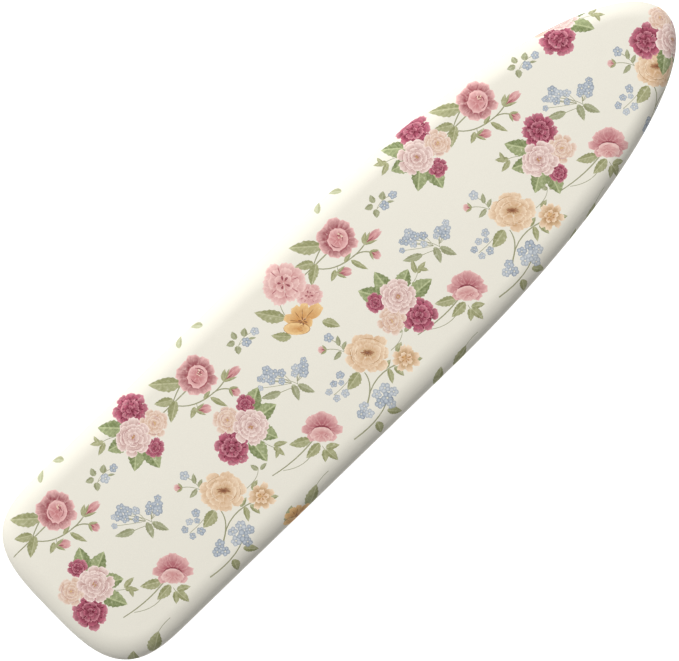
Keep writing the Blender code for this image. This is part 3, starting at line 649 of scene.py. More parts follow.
def blue_sprig_motif(pen):
    """D: two heads of blue flowers on a leafy stem."""
    leaves(pen, OLIVE, (-20, -12, -50, 3, 12), (2, -16, -9, -42, 12), (8, -22, 19, -50, 12, -0.15))
    stems(pen, (10, -26, -4, -18, -24, -11, 1.0), (8, -22, 4, -6, -14, 14, 1.0),
          (8, -22, 12, -12, 28, -8, 1.0))
    blue_spray(pen, (2, -14), (-24, 22, 8), (-12, 28, 8), (-8, 17, 8), (-19, 11, 7), (2, 9, 7),
               (-7, -1, 6), (-39, 15, 5), (-30, 26, 5))
    blue_spray(pen, (10, -18), (24, -2, 8), (34, -8, 9), (27, -15, 8), (41, -1, 6), (16, -6, 6))


def pink_motif(pen):
    """E: a wild rose with long stems and leaves below."""
    stems(pen, (-108, 1, -62, -9, -22, -3), (-90, -5, -62, -26, -36, -17, 1.1),
          (-18, -20, -20, -26, -18, -32, 1.0))
    leaves(pen, SAGE, (-24, 0, -55, 18, 16), (-18, -14, -50, -16, 16), (-19, -26, -33, -42, 11),
           (-18, -28, -16, -54, 13), (-17, -26, 3, -38, 11))
    wild_rose(pen.at((0, 0), UPRIGHT, 28))


def small_sprig_motif(pen):
    """F: a few leaves and two blue flowers."""
    stems(pen, (-19, -6, -8, -4, -4, -10, 0.8), (-16, -5, 0, 2, 17, -7, 0.8))
    leaves(pen, OLIVE, (-13, 4, -9, 18, 10), (-17, 3, -31, 8, 10), (-19, -4, -27, -16, 11),
           (-1, -2, 10, 8, 11), (2, -9, 12, -16, 4))
    blue_flowers(pen, (-4, -10, 8), (17, -7, 7))


def carnation_motif(pen):
    """G: two pink carnations over an amber flower."""
    stems(pen, (-22, -14, -34, -26, -34, -46, 1.2))
    leaves(pen, SAGE, (-36, -42, -66, -1, 21), (-50, -70, -72, -46, 15), (2, -86, 17, -112, 15))
    carnation(pen.at((16, -41), UPRIGHT, 23), 0.8)
    carnation(pen.at((0, 0), UPRIGHT, 35))
    amber_flower(pen.at((-21, -65), UPRIGHT, 32))


# Leaf pairs on the +Y edge, inked in the paler sage as a painted highlight of the lit edge.
def leaf_pair(pen):
    leaves(pen, SAGE_PAINTED_HIGHLIGHT, (-25, -14, -10, 10, 12), (27, -14, 10, 8, 12, -0.15))


def lone_amber_motif(pen):
    amber_flower(pen.at((0, 0), UPRIGHT, 24))


def edge_leaves(pen):
    leaves(pen, SAGE, (-34, -16, -8, 12, 20), (8, -18, 44, 8, 24))
    stems(pen, (30, 2, 52, 12, 72, 10, 0.9))


# Where each motif is printed, underneath the ones that follow: millimetres from the tail and from
# the centre line, and a turn in degrees.
MOTIFS = (
    (edge_leaves, ((62, -152, 0), (404, -160, 0), (728, -168, 0), (1040, -160, 14))),
    (lone_amber_motif, ((388, -172, 0), (1392, 6, 0))),
    (leaf_pair, ((159, 170, 0), (466, 170, 0), (773, 170, 0))),
    (small_sprig_motif, ((218, 98, 0), (529, 98, 0), (837, 101, 0), (1153, 103, 0))),
    (blue_sprig_motif, ((211, 9, 0), (529, 5, 0), (842, 5, 0), (1162, 9, 0))),
    (pink_motif, ((189, -91, 0), (515, -94, 0), (836, -94, 0), (1155, -87, 0))),
    (poppy_motif, ((334, -57, 0), (650, -59, 0), (972, -57, 0), (1295, -52, 0))),
    (rose_stem_motif, ((122, 106, 0), (431, 105, 0), (742, 106, 0), (1053, 109, 0))),
    (carnation_motif, ((632, 114, 0),)),
    (bouquet_motif, ((291, 104, 0), (86, -21, 163), (437, -14, 130), (748, -27, -138),
                     (922, 110, 0), (1059, -27, -9), (1249, 118, 166), (1347, -39, 88))),
)


def draw_print():
    seed = 0
    for motif, places in MOTIFS:
        for x, y, turn in places:
            seed += 1
            motif(Pen(x, y, math.radians(turn), 1, random.Random(seed)))


# ---------------------------------------------------------------- the cover


TOP_GRID = 12 * MM
HEM_POINTS = 1240

# Points down over the edge, band by band: its start, its end, its rings and the points of each ring.
CLOTH_BANDS = (
    (0, SIDE_START, 16, 400),
    (SIDE_START, HEM_START, 7, 700),
    (HEM_START, ARC[-1], 8, HEM_POINTS),
)


def cloth_points():
    """Free points for the cloth: a grid on the flat top, and rings down over the edge and hem."""
    points = []
    rows = int(HALF_WIDTH / TOP_GRID)
    for i in range(int(2 * HALF_LENGTH / TOP_GRID) + 1):
        for j in range(-rows, rows + 1):
            points.append((-HALF_LENGTH + i * TOP_GRID, (j + 0.5 * (i % 2)) * TOP_GRID))
    points = np.array(points)
    rings = [points[within(points[:, 0], points[:, 1], CROWN_WIDTH + 3 * MM)]]
    for start, end, count, around in CLOTH_BANDS:
        for arc in np.linspace(start, end, count + 1)[:-1]:
            rings.append(plan(CROWN_WIDTH - arc, around))
    return np.vstack(rings), plan(-CLOTH_REACH, HEM_POINTS)


def cut_along(points, faces):
    """Triangles of flat points, cut along the edges of faces, and the faces each came from."""
    flat, _, triangles, _, _, sources = delaunay_2d_cdt(points, [], faces, 1, 1e-7, True)
    return flat, triangles, sources


def triangulated():
    """The flat cloth cut along every printed edge: points, triangles and each triangle's shape."""
    free, border = cloth_points()
    points = [Vector(p) for p in border] + [Vector(p) for p in free]
    faces = [list(range(len(border)))]
    shape_of_face = [-1]
    for i, shape in enumerate(SHAPES):
        outline = np.array(shape["outline"]) * MM - (HALF_LENGTH, 0)
        if within(outline[:, 0], outline[:, 1], 2 * MM - CLOTH_REACH).all():
            faces.append(list(range(len(points), len(points) + len(outline))))
            shape_of_face.append(i)
            points += [Vector(p) for p in outline]
    flat, triangles, sources = cut_along(points, faces)
    inside = [i for i, source in enumerate(sources) if source]
    shape_of = np.array([shape_of_face[max(sources[i])] for i in inside])
    return np.array([tuple(p) for p in flat]), np.array(triangles)[inside], shape_of


def corner_data(flat, triangles, shape_of):
    """Colours and shape coordinates for each corner of each triangle."""
    corners = (len(triangles), 3, 1)
    plain = ((*GROUND, 0), (*GROUND, 0), (0, 0.5, 0), (0, 0, 0))
    deep, pale, spot, mark = (np.tile(np.array(value, np.float32), corners) for value in plain)
    order = np.argsort(shape_of, kind="stable")
    bounds = np.searchsorted(shape_of[order], np.arange(len(SHAPES) + 1))
    for i, shape in enumerate(SHAPES):
        own = order[bounds[i]:bounds[i + 1]]
        if not len(own):
            continue
        place = (flat[triangles[own]] + (HALF_LENGTH, 0)) / MM - shape["base"]
        along = np.array(shape["along"])
        across = np.array([-along[1], along[0]])
        spot[own, :, 0] = place @ across / shape["half"]
        spot[own, :, 1] = place @ along / shape["length"]
        spot[own, :, 2] = shape["seed"]
        deep[own] = (*shape["inks"][0], 1)
        pale[own] = (*shape["inks"][1], 1)
        mark[own] = shape["mark"]
    return deep, pale, spot, mark


def placed(name, data):
    """A new object in the scene."""
    made = bpy.data.objects.new(name, data)
    bpy.context.scene.collection.objects.link(made)
    return made


def add(name, mesh, material):
    """A visible piece, riding on the board."""
    made = placed(name, mesh)
    mesh.materials.append(material)
    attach(made, "board")
    return made


def mesh_of(name, points, faces):
    mesh = bpy.data.meshes.new(name)
    mesh.from_pydata([tuple(p) for p in points], [], [[int(i) for i in face] for face in faces])
    mesh.shade_smooth()
    return mesh


def make_cover(material):
    """The printed cotton cover, stretched over the pad and round under the rim."""
    draw_print()
    flat, triangles, shape_of = triangulated()
    points, normals = drape_normals(flat)
    mesh = bpy.data.meshes.new("printed_cover")
    mesh.vertices.add(len(points))
    mesh.vertices.foreach_set("co", points.ravel())
    mesh.loops.add(triangles.size)
    mesh.loops.foreach_set("vertex_index", triangles.ravel())
    mesh.polygons.add(len(triangles))
    mesh.polygons.foreach_set("loop_start", np.arange(len(triangles)) * 3)
    mesh.update(calc_edges=True)
    mesh.shade_smooth()
    names = ("ink_deep", "ink_pale", "spot", "mark")
    kinds = ("FLOAT_COLOR", "FLOAT_COLOR", "FLOAT_VECTOR", "FLOAT_VECTOR")
    for name, kind, values in zip(names, kinds, corner_data(flat, triangles, shape_of)):
        layer = mesh.attributes.new(name, kind, "CORNER")
        layer.data.foreach_set("color" if kind == "FLOAT_COLOR" else "vector", values.ravel())
    mesh.normals_split_custom_set_from_vertices([tuple(n) for n in normals])
    cover = add("printed_cover", mesh, material)
    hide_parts("fabric_cover")


# ---------------------------------------------------------------- what the cover hides


def hem_line(inset, count):
    """Points along the gathered hem at an inset, with the gathers' rise and fall."""
    ring = plan(inset, count)
    wave = gathers(ring)
    return np.column_stack([ring, UNDER + GATHER_DEPTH * wave]), wave


def circle(centre, way, radius, sides):
    """Points of an upright circle, from the side that way points to."""
    turns = [2 * math.pi * k / sides for k in range(sides)]
    return [centre + radius * (way * math.cos(turn) + (0, 0, math.sin(turn))) for turn in turns]


def bands(rows, count, closed=False):
    """Four-sided faces between rows of count points that run round and close, row by row."""
    faces = []
    for row in range(rows if closed else rows - 1):
        after = (row + 1) % rows
        for k in range(count):
            n = (k + 1) % count
            faces.append((row * count + k, after * count + k, after * count + n, row * count + n))
    return faces


def ring_tube(line, radii, sides):
    """Points and faces of a closed tube round the board, with a radius at each point of its line."""
    ahead = np.roll(line, -1, axis=0) - np.roll(line, 1, axis=0)
    out = np.column_stack([ahead[:, 1], -ahead[:, 0], np.zeros(len(line))])
    out /= np.linalg.norm(out, axis=1)[:, None]
    points = []
    for centre, way, radius in zip(line, out, radii):
        points += circle(centre, way, radius, sides)
    return points, bands(len(line), sides, closed=True)


CASING_IN = HEM_IN + 1.6 * MM
CASING_RADIUS = 2.1 * MM
CASING_PUCKER = 0.25 * MM
CASING_SIDES = 8


def make_hem(material):
    """The rolled casing round the elastic, puckered with the gathers."""
    line, wave = hem_line(CASING_IN, HEM_POINTS)
    points, faces = ring_tube(line, CASING_RADIUS + CASING_PUCKER * wave, CASING_SIDES)
    hem = add("hem_casing", mesh_of("hem_casing", points, faces), material)
    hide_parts("hem_elastic")
    return hem


STITCH_PITCH = 4.2 * MM
STITCH_LENGTH = 2.9 * MM
STITCH_RADIUS = 0.3 * MM
STITCH_IN = HEM_IN - 3.5 * MM
STITCH_SINK = 0.15 * MM
STITCH_SECTIONS = ((-0.5, 0.35), (-0.3, 0.9), (0.3, 0.9), (0.5, 0.35))
STITCH_SIDES = 5
SEAM_POINTS = 3200


def make_stitches(material):
    """The row of machine stitches that holds the casing closed."""
    ring, _ = hem_line(STITCH_IN, SEAM_POINTS)
    run = np.concatenate([[0], np.cumsum(np.linalg.norm(np.diff(ring, axis=0), axis=1))])

    def on_seam(at):
        return np.array([np.interp(at, run, ring[:, k]) for k in range(3)])

    points, faces = [], []
    for i in range(int(run[-1] / STITCH_PITCH)):
        first = len(points)
        for along, size in STITCH_SECTIONS:
            at = i * STITCH_PITCH + (0.5 + along) * STITCH_LENGTH
            here = on_seam(at)
            ahead = on_seam(at + MM) - here
            side = np.array([ahead[1], -ahead[0], 0]) / math.hypot(ahead[0], ahead[1])
            points += circle(here - (0, 0, STITCH_SINK), side, STITCH_RADIUS * size, STITCH_SIDES)
        last = len(points) - STITCH_SIDES
        for face in bands(len(STITCH_SECTIONS), STITCH_SIDES):
            faces.append([first + k for k in face])
        faces.append([first + k for k in range(STITCH_SIDES)])
        faces.append([last + k for k in reversed(range(STITCH_SIDES))])
    stitches = add("hem_stitches", mesh_of("hem_stitches", points, faces), material)
    return stitches


PAD_ROLL = math.radians(45)
PAD_STEPS = 12
PAD_POINTS = 240
PAD_MIDDLE = 80 * MM
CLOTH_GAP = 2.2 * MM


def make_pad(material):
    """The felt pad, rounded over at its edge under the cover."""
    low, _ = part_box("foam_pad")
    rings = [(PAD_MIDDLE, TOP - CLOTH_GAP)]
    for turn in np.linspace(0, PAD_ROLL, PAD_STEPS):
        slope = math.atan2(CROWN_DROP * math.sin(turn), CROWN_WIDTH * math.cos(turn))
        inset = CROWN_WIDTH * (1 - math.sin(turn)) + CLOTH_GAP * math.sin(slope)
        height = TOP - CROWN_DROP * (1 - math.cos(turn)) - CLOTH_GAP * math.cos(slope)
        rings.append((inset, height))
    edge = rings[-1][0]
    rings += [(edge + 0.5 * MM, low.z), (edge + 20 * MM, low.z), (PAD_MIDDLE, low.z)]
    points = []
    for inset, z in rings:
        for x, y in plan(inset, PAD_POINTS):
            dome = DOME * (y / HALF_WIDTH) ** 2
            points.append((x, y, z - dome if z > low.z else z))
    faces = bands(len(rings), PAD_POINTS)
    faces.append(range(PAD_POINTS))
    faces.append(range(len(points) - PAD_POINTS, len(points))[::-1])
    pad = add("felt_pad", mesh_of("felt_pad", points, faces), material)
    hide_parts("foam_pad")


DIAMOND = (25 * MM, 12.5 * MM)
DIAMOND_FILL = 0.76
DECK_EDGE = 11.5 * MM
DECK_BAND = 16 * MM
DECK_POINTS = 300
DECK_COLUMNS = 56
DECK_ROWS = 14


def make_deck(material):
    """The expanded-metal deck, a thin plate of small diamond openings with a plain edge."""
    low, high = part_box("mesh_deck")
    border = plan(DECK_EDGE, DECK_POINTS, STEEL_PLAN)
    points = [Vector(p) for p in border]
    faces = [list(range(len(border)))]
    wide, tall = DIAMOND
    for column in range(-DECK_COLUMNS, DECK_COLUMNS + 1):
        for row in range(-DECK_ROWS, DECK_ROWS + 1):
            x = (column + 0.5 * (row % 2)) * wide
            y = row * tall / 2
            corners = np.array([(wide, 0), (0, tall), (-wide, 0), (0, -tall)]) * DIAMOND_FILL / 2
            corners += (x, y)
            if within(*corners.T, DECK_EDGE + DECK_BAND, STEEL_PLAN).all():
                faces.append(list(range(len(points), len(points) + 4)))
                points += [Vector(p) for p in corners]
    flat, triangles, sources = cut_along(points, faces)
    kept = [t for t, source in zip(triangles, sources) if list(source) == [0]]
    mesh = mesh_of("diamond_deck", [(*p, high.z) for p in flat], kept)
    mesh.shade_flat()
    deck = add("diamond_deck", mesh, material)
    thick = deck.modifiers.new("sheet_thickness", "SOLIDIFY")
    thick.thickness = high.z - low.z
    thick.offset = -1
    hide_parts("mesh_deck")


# ---------------------------------------------------------------- materials


class Shader:
    """A Principled material and short ways to add nodes to it."""

    def __init__(self, name, colour, roughness, metallic=0.0):
        self.material = bpy.data.materials.new(name)
        self.material.use_nodes = True
        self.tree = self.material.node_tree
        self.principled = self.tree.nodes["Principled BSDF"]
        self.set("Base Color", (*colour, 1))
        self.set("Roughness", roughness)
        self.set("Metallic", metallic)

    def fill(self, socket, value):
        """Links a socket to another one, or gives it a plain value."""
        if isinstance(value, bpy.types.NodeSocket):
            self.tree.links.new(value, socket)
        else:
            socket.default_value = value

    def set(self, socket, value):
        self.fill(self.principled.inputs[socket], value)

    def node(self, kind, inputs=None, **settings):
        made = self.tree.nodes.new("ShaderNode" + kind)
        for key, value in settings.items():
            setattr(made, key, value)
        for key, value in (inputs or {}).items():
            self.fill(made.inputs[key], value)
        return made

    def parts(self, name):
        """The three numbers of a mesh attribute."""
        stored = self.node("Attribute", attribute_name=name).outputs["Vector"]
        return self.node("SeparateXYZ", {"Vector": stored}).outputs

    def math(self, operation, *values):
        return self.node("Math", dict(enumerate(values)), operation=operation).outputs[0]

    def plus(self, first, second):
        return self.math("ADD", first, second)

    def times(self, first, second):
        return self.math("MULTIPLY", first, second)

    def power(self, value, power, lowest=0.0):
        return self.math("POWER", self.math("MAXIMUM", value, lowest), power)

    def about(self, value, middle, scale):
        """How far a value is from a middle one, scaled."""
        return self.times(self.math("SUBTRACT", value, middle), scale)

    def ramp(self, value, low, high, to_low=0.0, to_high=1.0):
        """A smooth step from low to high, clamped."""
        inputs = {"Value": value, "From Min": low, "From Max": high,
                  "To Min": to_low, "To Max": to_high}
        return self.node("MapRange", inputs, interpolation_type="SMOOTHSTEP").outputs["Result"]

    def mix(self, factor, first, second, blend="MIX"):
        made = self.node("Mix", data_type="RGBA", blend_type=blend)
        for index, value in ((0, factor), (6, first), (7, second)):
            self.fill(made.inputs[index], (*value, 1) if isinstance(value, tuple) else value)
        return made.outputs[2]

    def place(self, scale=(1, 1, 1)):
        """The object's own coordinates, stretched."""
        coordinates = self.node("TexCoord").outputs["Object"]
        return self.node("Mapping", {"Vector": coordinates, "Scale": scale}).outputs["Vector"]

    def noise(self, scale, detail=3.0, stretch=(1, 1, 1), roughness=0.5):
        inputs = {"Vector": self.place(stretch), "Scale": scale, "Detail": detail,
                  "Roughness": roughness}
        return self.node("TexNoise", inputs).outputs["Fac"]

    def wave(self, scale, distortion, detail=2.0, direction="DIAGONAL"):
        """Even bands, such as threads."""
        inputs = {"Vector": self.place(), "Scale": scale, "Distortion": distortion, "Detail": detail}
        return self.node("TexWave", inputs, bands_direction=direction).outputs["Fac"]

    def bump(self, height, distance, strength, normal=None):
        inputs = {"Height": height, "Distance": distance, "Strength": strength}
        if normal is not None:
            inputs["Normal"] = normal
        return self.node("Bump", inputs).outputs["Normal"]


def printed_cotton():
    """Plain-weave cotton with a watercolour print of petals, leaves and stems in the mesh's inks."""
    s = Shader("printed_cotton", GROUND, 0.86)
    deep = s.node("Attribute", attribute_name="ink_deep")
    pale = s.node("Attribute", attribute_name="ink_pale").outputs["Color"]
    printed = deep.outputs["Alpha"]
    u, v, seed = s.parts("spot")
    radial, leaf, rim = s.parts("mark")
    side = s.math("ABSOLUTE", u)
    reach = s.math("SQRT", s.plus(s.times(u, u), s.times(v, v)))
    wash = s.noise(210.0, 3.0)
    pool = s.noise(62.0, 2.0)
    grain = s.noise(1100.0, 2.0)

    # How far each point is from its petal's root, 0, to its tip, 1, or out from a disc's centre.
    along = s.mix(radial, v, reach)
    lit = s.plus(s.power(along, 1.7), s.about(wash, 0.5, 0.75))
    lit = s.plus(lit, s.about(pool, 0.5, 0.55))
    width = s.math("SINE", s.times(s.power(v, PETAL_POWER), math.pi))
    width = s.power(width, PETAL_ROUND, 0.01)
    brim = s.ramp(s.math("DIVIDE", side, width), 0.70, 1.0)
    brim = s.math("MAXIMUM", brim, s.ramp(v, 0.86, 0.99))
    lit = s.plus(lit, s.times(brim, rim))

    # Petals are streaked from root to tip. The streaks fan out, so they follow u.
    streak_place = s.node("CombineXYZ", {"X": s.times(u, 5.0), "Y": v, "Z": seed}).outputs[0]
    streak = s.node("TexNoise", {"Vector": streak_place, "Scale": 1.6, "Detail": 2.0}).outputs["Fac"]
    lit = s.plus(lit, s.about(streak, 0.5, 0.6))

    # Leaves are darker on one half, with a pale middle vein and faint side veins.
    half_tone = s.times(s.ramp(u, -0.2, 0.2), 0.30)
    rib = s.ramp(side, 0.13, 0.03)
    slant = s.math("FRACT", s.math("SUBTRACT", s.times(v, 6.0), s.times(side, 1.5)))
    veins = s.times(s.ramp(slant, 0.16, 0.04), 0.35)
    leaf_lit = s.plus(s.plus(half_tone, s.times(rib, 0.6)), veins)
    leaf_lit = s.plus(leaf_lit, s.about(wash, 0.38, 1.3))
    lit = s.plus(s.times(lit, s.math("SUBTRACT", 1.0, leaf)), s.times(leaf_lit, leaf))
    lit = s.math("MINIMUM", s.math("MAXIMUM", lit, 0.0), 1.0)
    colour = s.mix(lit, deep.outputs["Color"], pale)

    # The colour is thin in places, where the ground shows through, and grainy throughout.
    thin = s.times(s.ramp(wash, 0.60, 0.82), s.times(printed, 0.45))
    colour = s.mix(thin, colour, GROUND)
    tint = s.plus(s.about(grain, 0.5, 0.16), 1.0)
    grey = s.node("CombineColor", {"Red": tint, "Green": tint, "Blue": tint}).outputs[0]
    colour = s.mix(1.0, colour, grey, "MULTIPLY")
    s.set("Base Color", colour)

    # Warp and weft threads, and the slight unevenness of cloth over felt.
    warp = s.wave(260.0, 0.6, 1.0, "X")
    weft = s.wave(250.0, 0.6, 1.0, "Y")
    threads = s.bump(s.math("MAXIMUM", warp, weft), 0.06 * MM, 0.5)
    s.set("Normal", s.bump(s.noise(16.0, 2.0), 1.2 * MM, 0.35, threads))
    s.set("Roughness", s.ramp(grain, 0.2, 0.8, 0.80, 0.92))
    s.set("Sheen Weight", 0.12)
    s.set("Sheen Roughness", 0.5)
    s.set("Specular IOR Level", 0.25)
    return s.material


def woven_elastic():
    """The casing's pale braid, ribbed across."""
    s = Shader("hem_binding", (0.78, 0.76, 0.70), 0.8)
    ribs = s.wave(120.0, 1.5)
    tone = s.times(ribs, s.noise(90.0))
    s.set("Base Color", s.mix(tone, (0.84, 0.82, 0.76), (0.62, 0.60, 0.54)))
    s.set("Roughness", s.ramp(ribs, 0.0, 1.0, 0.7, 0.9))
    s.set("Normal", s.bump(ribs, 0.25 * MM, 0.6))
    s.set("Sheen Weight", 0.1)
    return s.material


def stitch_thread():
    """Twisted sewing thread."""
    s = Shader("stitch_thread", (0.80, 0.78, 0.72), 0.6)
    twist = s.wave(600.0, 0.5)
    s.set("Base Color", s.mix(twist, (0.86, 0.84, 0.78), (0.66, 0.63, 0.56)))
    s.set("Normal", s.bump(twist, 0.08 * MM, 0.6))
    return s.material


def felt():
    """Pressed felt of mixed pale fibres, with a few coloured ones."""
    s = Shader("pressed_felt", (0.78, 0.77, 0.74), 0.95)
    fibre = s.noise(420.0, 5.0, (1, 0.35, 1), 0.7)
    cross = s.noise(380.0, 5.0, (0.35, 1, 1), 0.7)
    body = s.mix(s.ramp(fibre, 0.3, 0.7), (0.68, 0.67, 0.64), (0.84, 0.83, 0.80))
    fleck = s.ramp(s.noise(150.0, 4.0, (1, 0.25, 1), 0.8), 0.66, 0.72)
    body = s.mix(fleck, body, (0.34, 0.40, 0.52))
    s.set("Base Color", body)
    s.set("Roughness", s.ramp(cross, 0.2, 0.8, 0.9, 1.0))
    s.set("Normal", s.bump(s.plus(fibre, cross), 0.5 * MM, 0.6))
    s.set("Sheen Weight", 0.3)
    s.set("Sheen Roughness", 0.6)
    return s.material


def powder_coat():
    """White powder coat: a fine orange peel, faint unevenness, and grime in scattered scuffs."""
    colour = (0.60, 0.60, 0.585)
    s = Shader("powder_coat", colour, 0.38)
    cloud = s.noise(9.0, 4.0)
    scuff = s.times(s.ramp(s.noise(70.0, 6.0, (1, 1, 0.3), 0.65), 0.63, 0.74), 0.5)
    shaded = s.mix(s.ramp(cloud, 0.3, 0.7), colour, tuple(c * 0.90 for c in colour))
    s.set("Base Color", s.mix(scuff, shaded, (0.33, 0.32, 0.30)))
    s.set("Roughness", s.plus(s.ramp(cloud, 0.2, 0.8, 0.30, 0.44), s.times(scuff, 0.3)))
    s.set("Normal", s.bump(s.noise(620.0, 2.0), 0.08 * MM, 0.5))
    s.set("Coat Weight", 0.15)
    s.set("Coat Roughness", 0.2)
    return s.material


def zinc_plate():
    """Bright zinc plate with a drawn grain, dull spots and a little white bloom."""
    s = Shader("bright_zinc", (0.66, 0.67, 0.68), 0.34, 1.0)
    drawn = s.noise(160.0, 4.0, (0.15, 4, 4), 0.6)
    bloom = s.ramp(s.noise(55.0, 5.0), 0.56, 0.76)
    bright = s.mix(drawn, (0.60, 0.61, 0.63), (0.72, 0.72, 0.72))
    s.set("Base Color", s.mix(bloom, bright, (0.56, 0.56, 0.55)))
    s.set("Roughness", s.plus(s.ramp(drawn, 0.2, 0.8, 0.24, 0.40), s.times(bloom, 0.25)))
    s.set("Metallic", s.ramp(bloom, 0.0, 1.0, 1.0, 0.75))
    s.set("Normal", s.bump(drawn, 0.05 * MM, 0.5))
    return s.material


def moulded_nylon():
    """Grey nylon with a spark-eroded grain and paler rubbed patches."""
    s = Shader("moulded_nylon", (0.30, 0.32, 0.34), 0.48)
    grain = s.noise(1400.0, 2.0)
    rubbed = s.ramp(s.noise(85.0, 4.0), 0.52, 0.75)
    s.set("Base Color", s.mix(rubbed, (0.27, 0.29, 0.31), (0.36, 0.38, 0.40)))
    s.set("Roughness", s.ramp(rubbed, 0.0, 1.0, 0.54, 0.38))
    s.set("Normal", s.bump(grain, 0.06 * MM, 0.7))
    return s.material


def foot_rubber():
    """Dark rubber with a fine grain and pale dust where it has scuffed."""
    s = Shader("scuffed_rubber", (0.16, 0.17, 0.18), 0.7)
    dust = s.ramp(s.noise(120.0, 6.0, (1, 1, 2.5), 0.7), 0.52, 0.78)
    s.set("Base Color", s.mix(dust, (0.13, 0.14, 0.15), (0.30, 0.30, 0.29)))
    s.set("Roughness", s.ramp(dust, 0.0, 1.0, 0.62, 0.85))
    s.set("Normal", s.bump(s.noise(900.0, 3.0), 0.12 * MM, 0.8))
    return s.material


# ---------------------------------------------------------------- the studio


FLOOR_HALF = 40


def make_floor():
    """A plain white floor, lit a little from within so that it stays pale under the board."""
    corners = [(x * FLOOR_HALF, y * FLOOR_HALF, 0) for x, y in ((-1, -1), (1, -1), (1, 1), (-1, 1))]
    mesh = bpy.data.meshes.new("studio_floor")
    mesh.from_pydata(corners, [], [(0, 1, 2, 3)])
    floor = placed("studio_floor", mesh)
    s = Shader("floor_paper", (0.35, 0.35, 0.35), 0.9)
    s.set("Emission Color", (1, 1, 1, 1))
    s.set("Emission Strength", 0.94)
    s.set("Specular IOR Level", 0.0)
    mesh.materials.append(s.material)


KEY_ELEVATION = math.radians(56)
KEY_DISTANCE = 8.0
KEY_POWER = 797
KEY_AHEAD = 0.84
KEY_SIZE = 4.2
SKY_HIGH = 0.05
SKY_LOW = 0.92
SKY_BAND = (math.radians(3), math.radians(11))


def make_lights():
    """A broad key from the board's +Y side, and a sky pale at the horizon and dim overhead."""
    key = bpy.data.lights.new("key", "AREA")
    key.energy = KEY_POWER
    key.size = KEY_SIZE
    lamp = placed("key", key)
    towards = Vector((0, math.cos(KEY_ELEVATION), math.sin(KEY_ELEVATION)))
    lamp.location = Vector((KEY_AHEAD, 0, TOP)) + towards * KEY_DISTANCE
    lamp.rotation_mode = "QUATERNION"
    lamp.rotation_quaternion = towards.to_track_quat("Z", "Y")
    world = bpy.data.worlds.new("studio_sky")
    bpy.context.scene.world = world
    world.use_nodes = True
    nodes, links = world.node_tree.nodes, world.node_tree.links
    place = nodes.new("ShaderNodeTexCoord")
    split = nodes.new("ShaderNodeSeparateXYZ")
    shade = nodes.new("ShaderNodeMapRange")
    shade.interpolation_type = "SMOOTHSTEP"
    settings = {"From Min": math.sin(SKY_BAND[0]), "From Max": math.sin(SKY_BAND[1]),
                "To Min": SKY_LOW, "To Max": SKY_HIGH}
    for socket, value in settings.items():
        shade.inputs[socket].default_value = value
    links.new(place.outputs["Generated"], split.inputs[0])
    links.new(split.outputs["Z"], shade.inputs["Value"])
    links.new(shade.outputs["Result"], nodes["Background"].inputs["Strength"])
    nodes["Background"].inputs["Color"].default_value = (1, 1, 1, 1)
    bpy.context.scene.view_settings.view_transform = "Standard"


CAMERA_HEIGHT = 3.0
CAMERA_ROLL = math.radians(44.1)
CAMERA_OFF = (-0.0293, -0.0307)
LENS = 100.4
SENSOR_WIDTH = 36


def make_camera():
    """Straight down on the board, turned so that its nose points to the upper right."""
    camera = placed("camera", bpy.data.cameras.new("camera"))
    camera.data.lens = LENS
    camera.data.sensor_width = SENSOR_WIDTH
    right = Vector((math.cos(CAMERA_ROLL), -math.sin(CAMERA_ROLL), 0))
    up = Vector((math.sin(CAMERA_ROLL), math.cos(CAMERA_ROLL), 0))
    turn = Matrix((right, up, Vector((0, 0, 1)))).transposed()
    camera.rotation_mode = "QUATERNION"
    camera.rotation_quaternion = turn.to_quaternion()
    above = Vector((0, 0, TOP + CAMERA_HEIGHT))
    camera.location = above + right * CAMERA_OFF[0] + up * CAMERA_OFF[1]
    bpy.context.scene.camera = camera


# ---------------------------------------------------------------- everything together

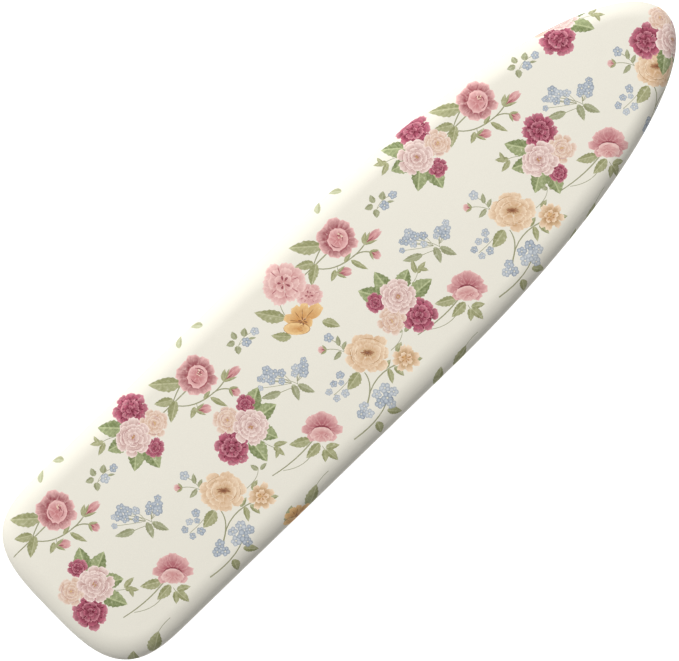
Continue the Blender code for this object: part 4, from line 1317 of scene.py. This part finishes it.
PAINT = powder_coat()
FINISHES = {
    "white_powder_coat": PAINT,
    "zinc_plate": zinc_plate(),
    "grey_nylon": moulded_nylon(),
    "foot_rubber": foot_rubber(),
}


SHARP_ANGLE = math.radians(35)
WELD = 0.01 * MM


def smooth_sides():
    """A node group that welds a carried-over mesh and shades its round sides smoothly."""
    group = bpy.data.node_groups.new("smooth_sides", "GeometryNodeTree")
    group.interface.new_socket("Geometry", in_out="INPUT", socket_type="NodeSocketGeometry")
    group.interface.new_socket("Geometry", in_out="OUTPUT", socket_type="NodeSocketGeometry")
    nodes, links = group.nodes, group.links
    weld = nodes.new("GeometryNodeMergeByDistance")
    weld.inputs["Distance"].default_value = WELD
    plain = nodes.new("GeometryNodeRemoveAttribute")
    plain.inputs["Name"].default_value = "custom_normal"
    faces = nodes.new("GeometryNodeSetShadeSmooth")
    faces.domain = "FACE"
    edges = nodes.new("GeometryNodeSetShadeSmooth")
    edges.domain = "EDGE"
    angle = nodes.new("GeometryNodeInputMeshEdgeAngle")
    round_side = nodes.new("FunctionNodeCompare")
    round_side.operation = "LESS_THAN"
    round_side.inputs["B"].default_value = SHARP_ANGLE
    links.new(angle.outputs["Unsigned Angle"], round_side.inputs["A"])
    links.new(round_side.outputs["Result"], edges.inputs["Shade Smooth"])
    steps = [nodes.new("NodeGroupInput"), weld, plain, faces, edges, nodes.new("NodeGroupOutput")]
    for before, after in zip(steps, steps[1:]):
        links.new(before.outputs[0], after.inputs[0])
    return group


def finish_nodes():
    """Gives every carried-over CAD node its slot's finish."""
    smooth = smooth_sides()
    for part in frame["record"]["subparts"]:
        finish = FINISHES.get(part.get("material_slot"))
        node = frame["nodes"].get(part.get("node") or part.get("name"))
        if finish and node:
            node.data.materials.clear()
            node.data.materials.append(finish)
            node.modifiers.new("smooth_sides", "NODES").node_group = smooth


finish_nodes()
hem_pieces = [make_hem(woven_elastic()), make_stitches(stitch_thread())]
make_cover(printed_cotton())
make_pad(felt())
make_deck(PAINT)
make_floor()
make_lights()
make_camera()
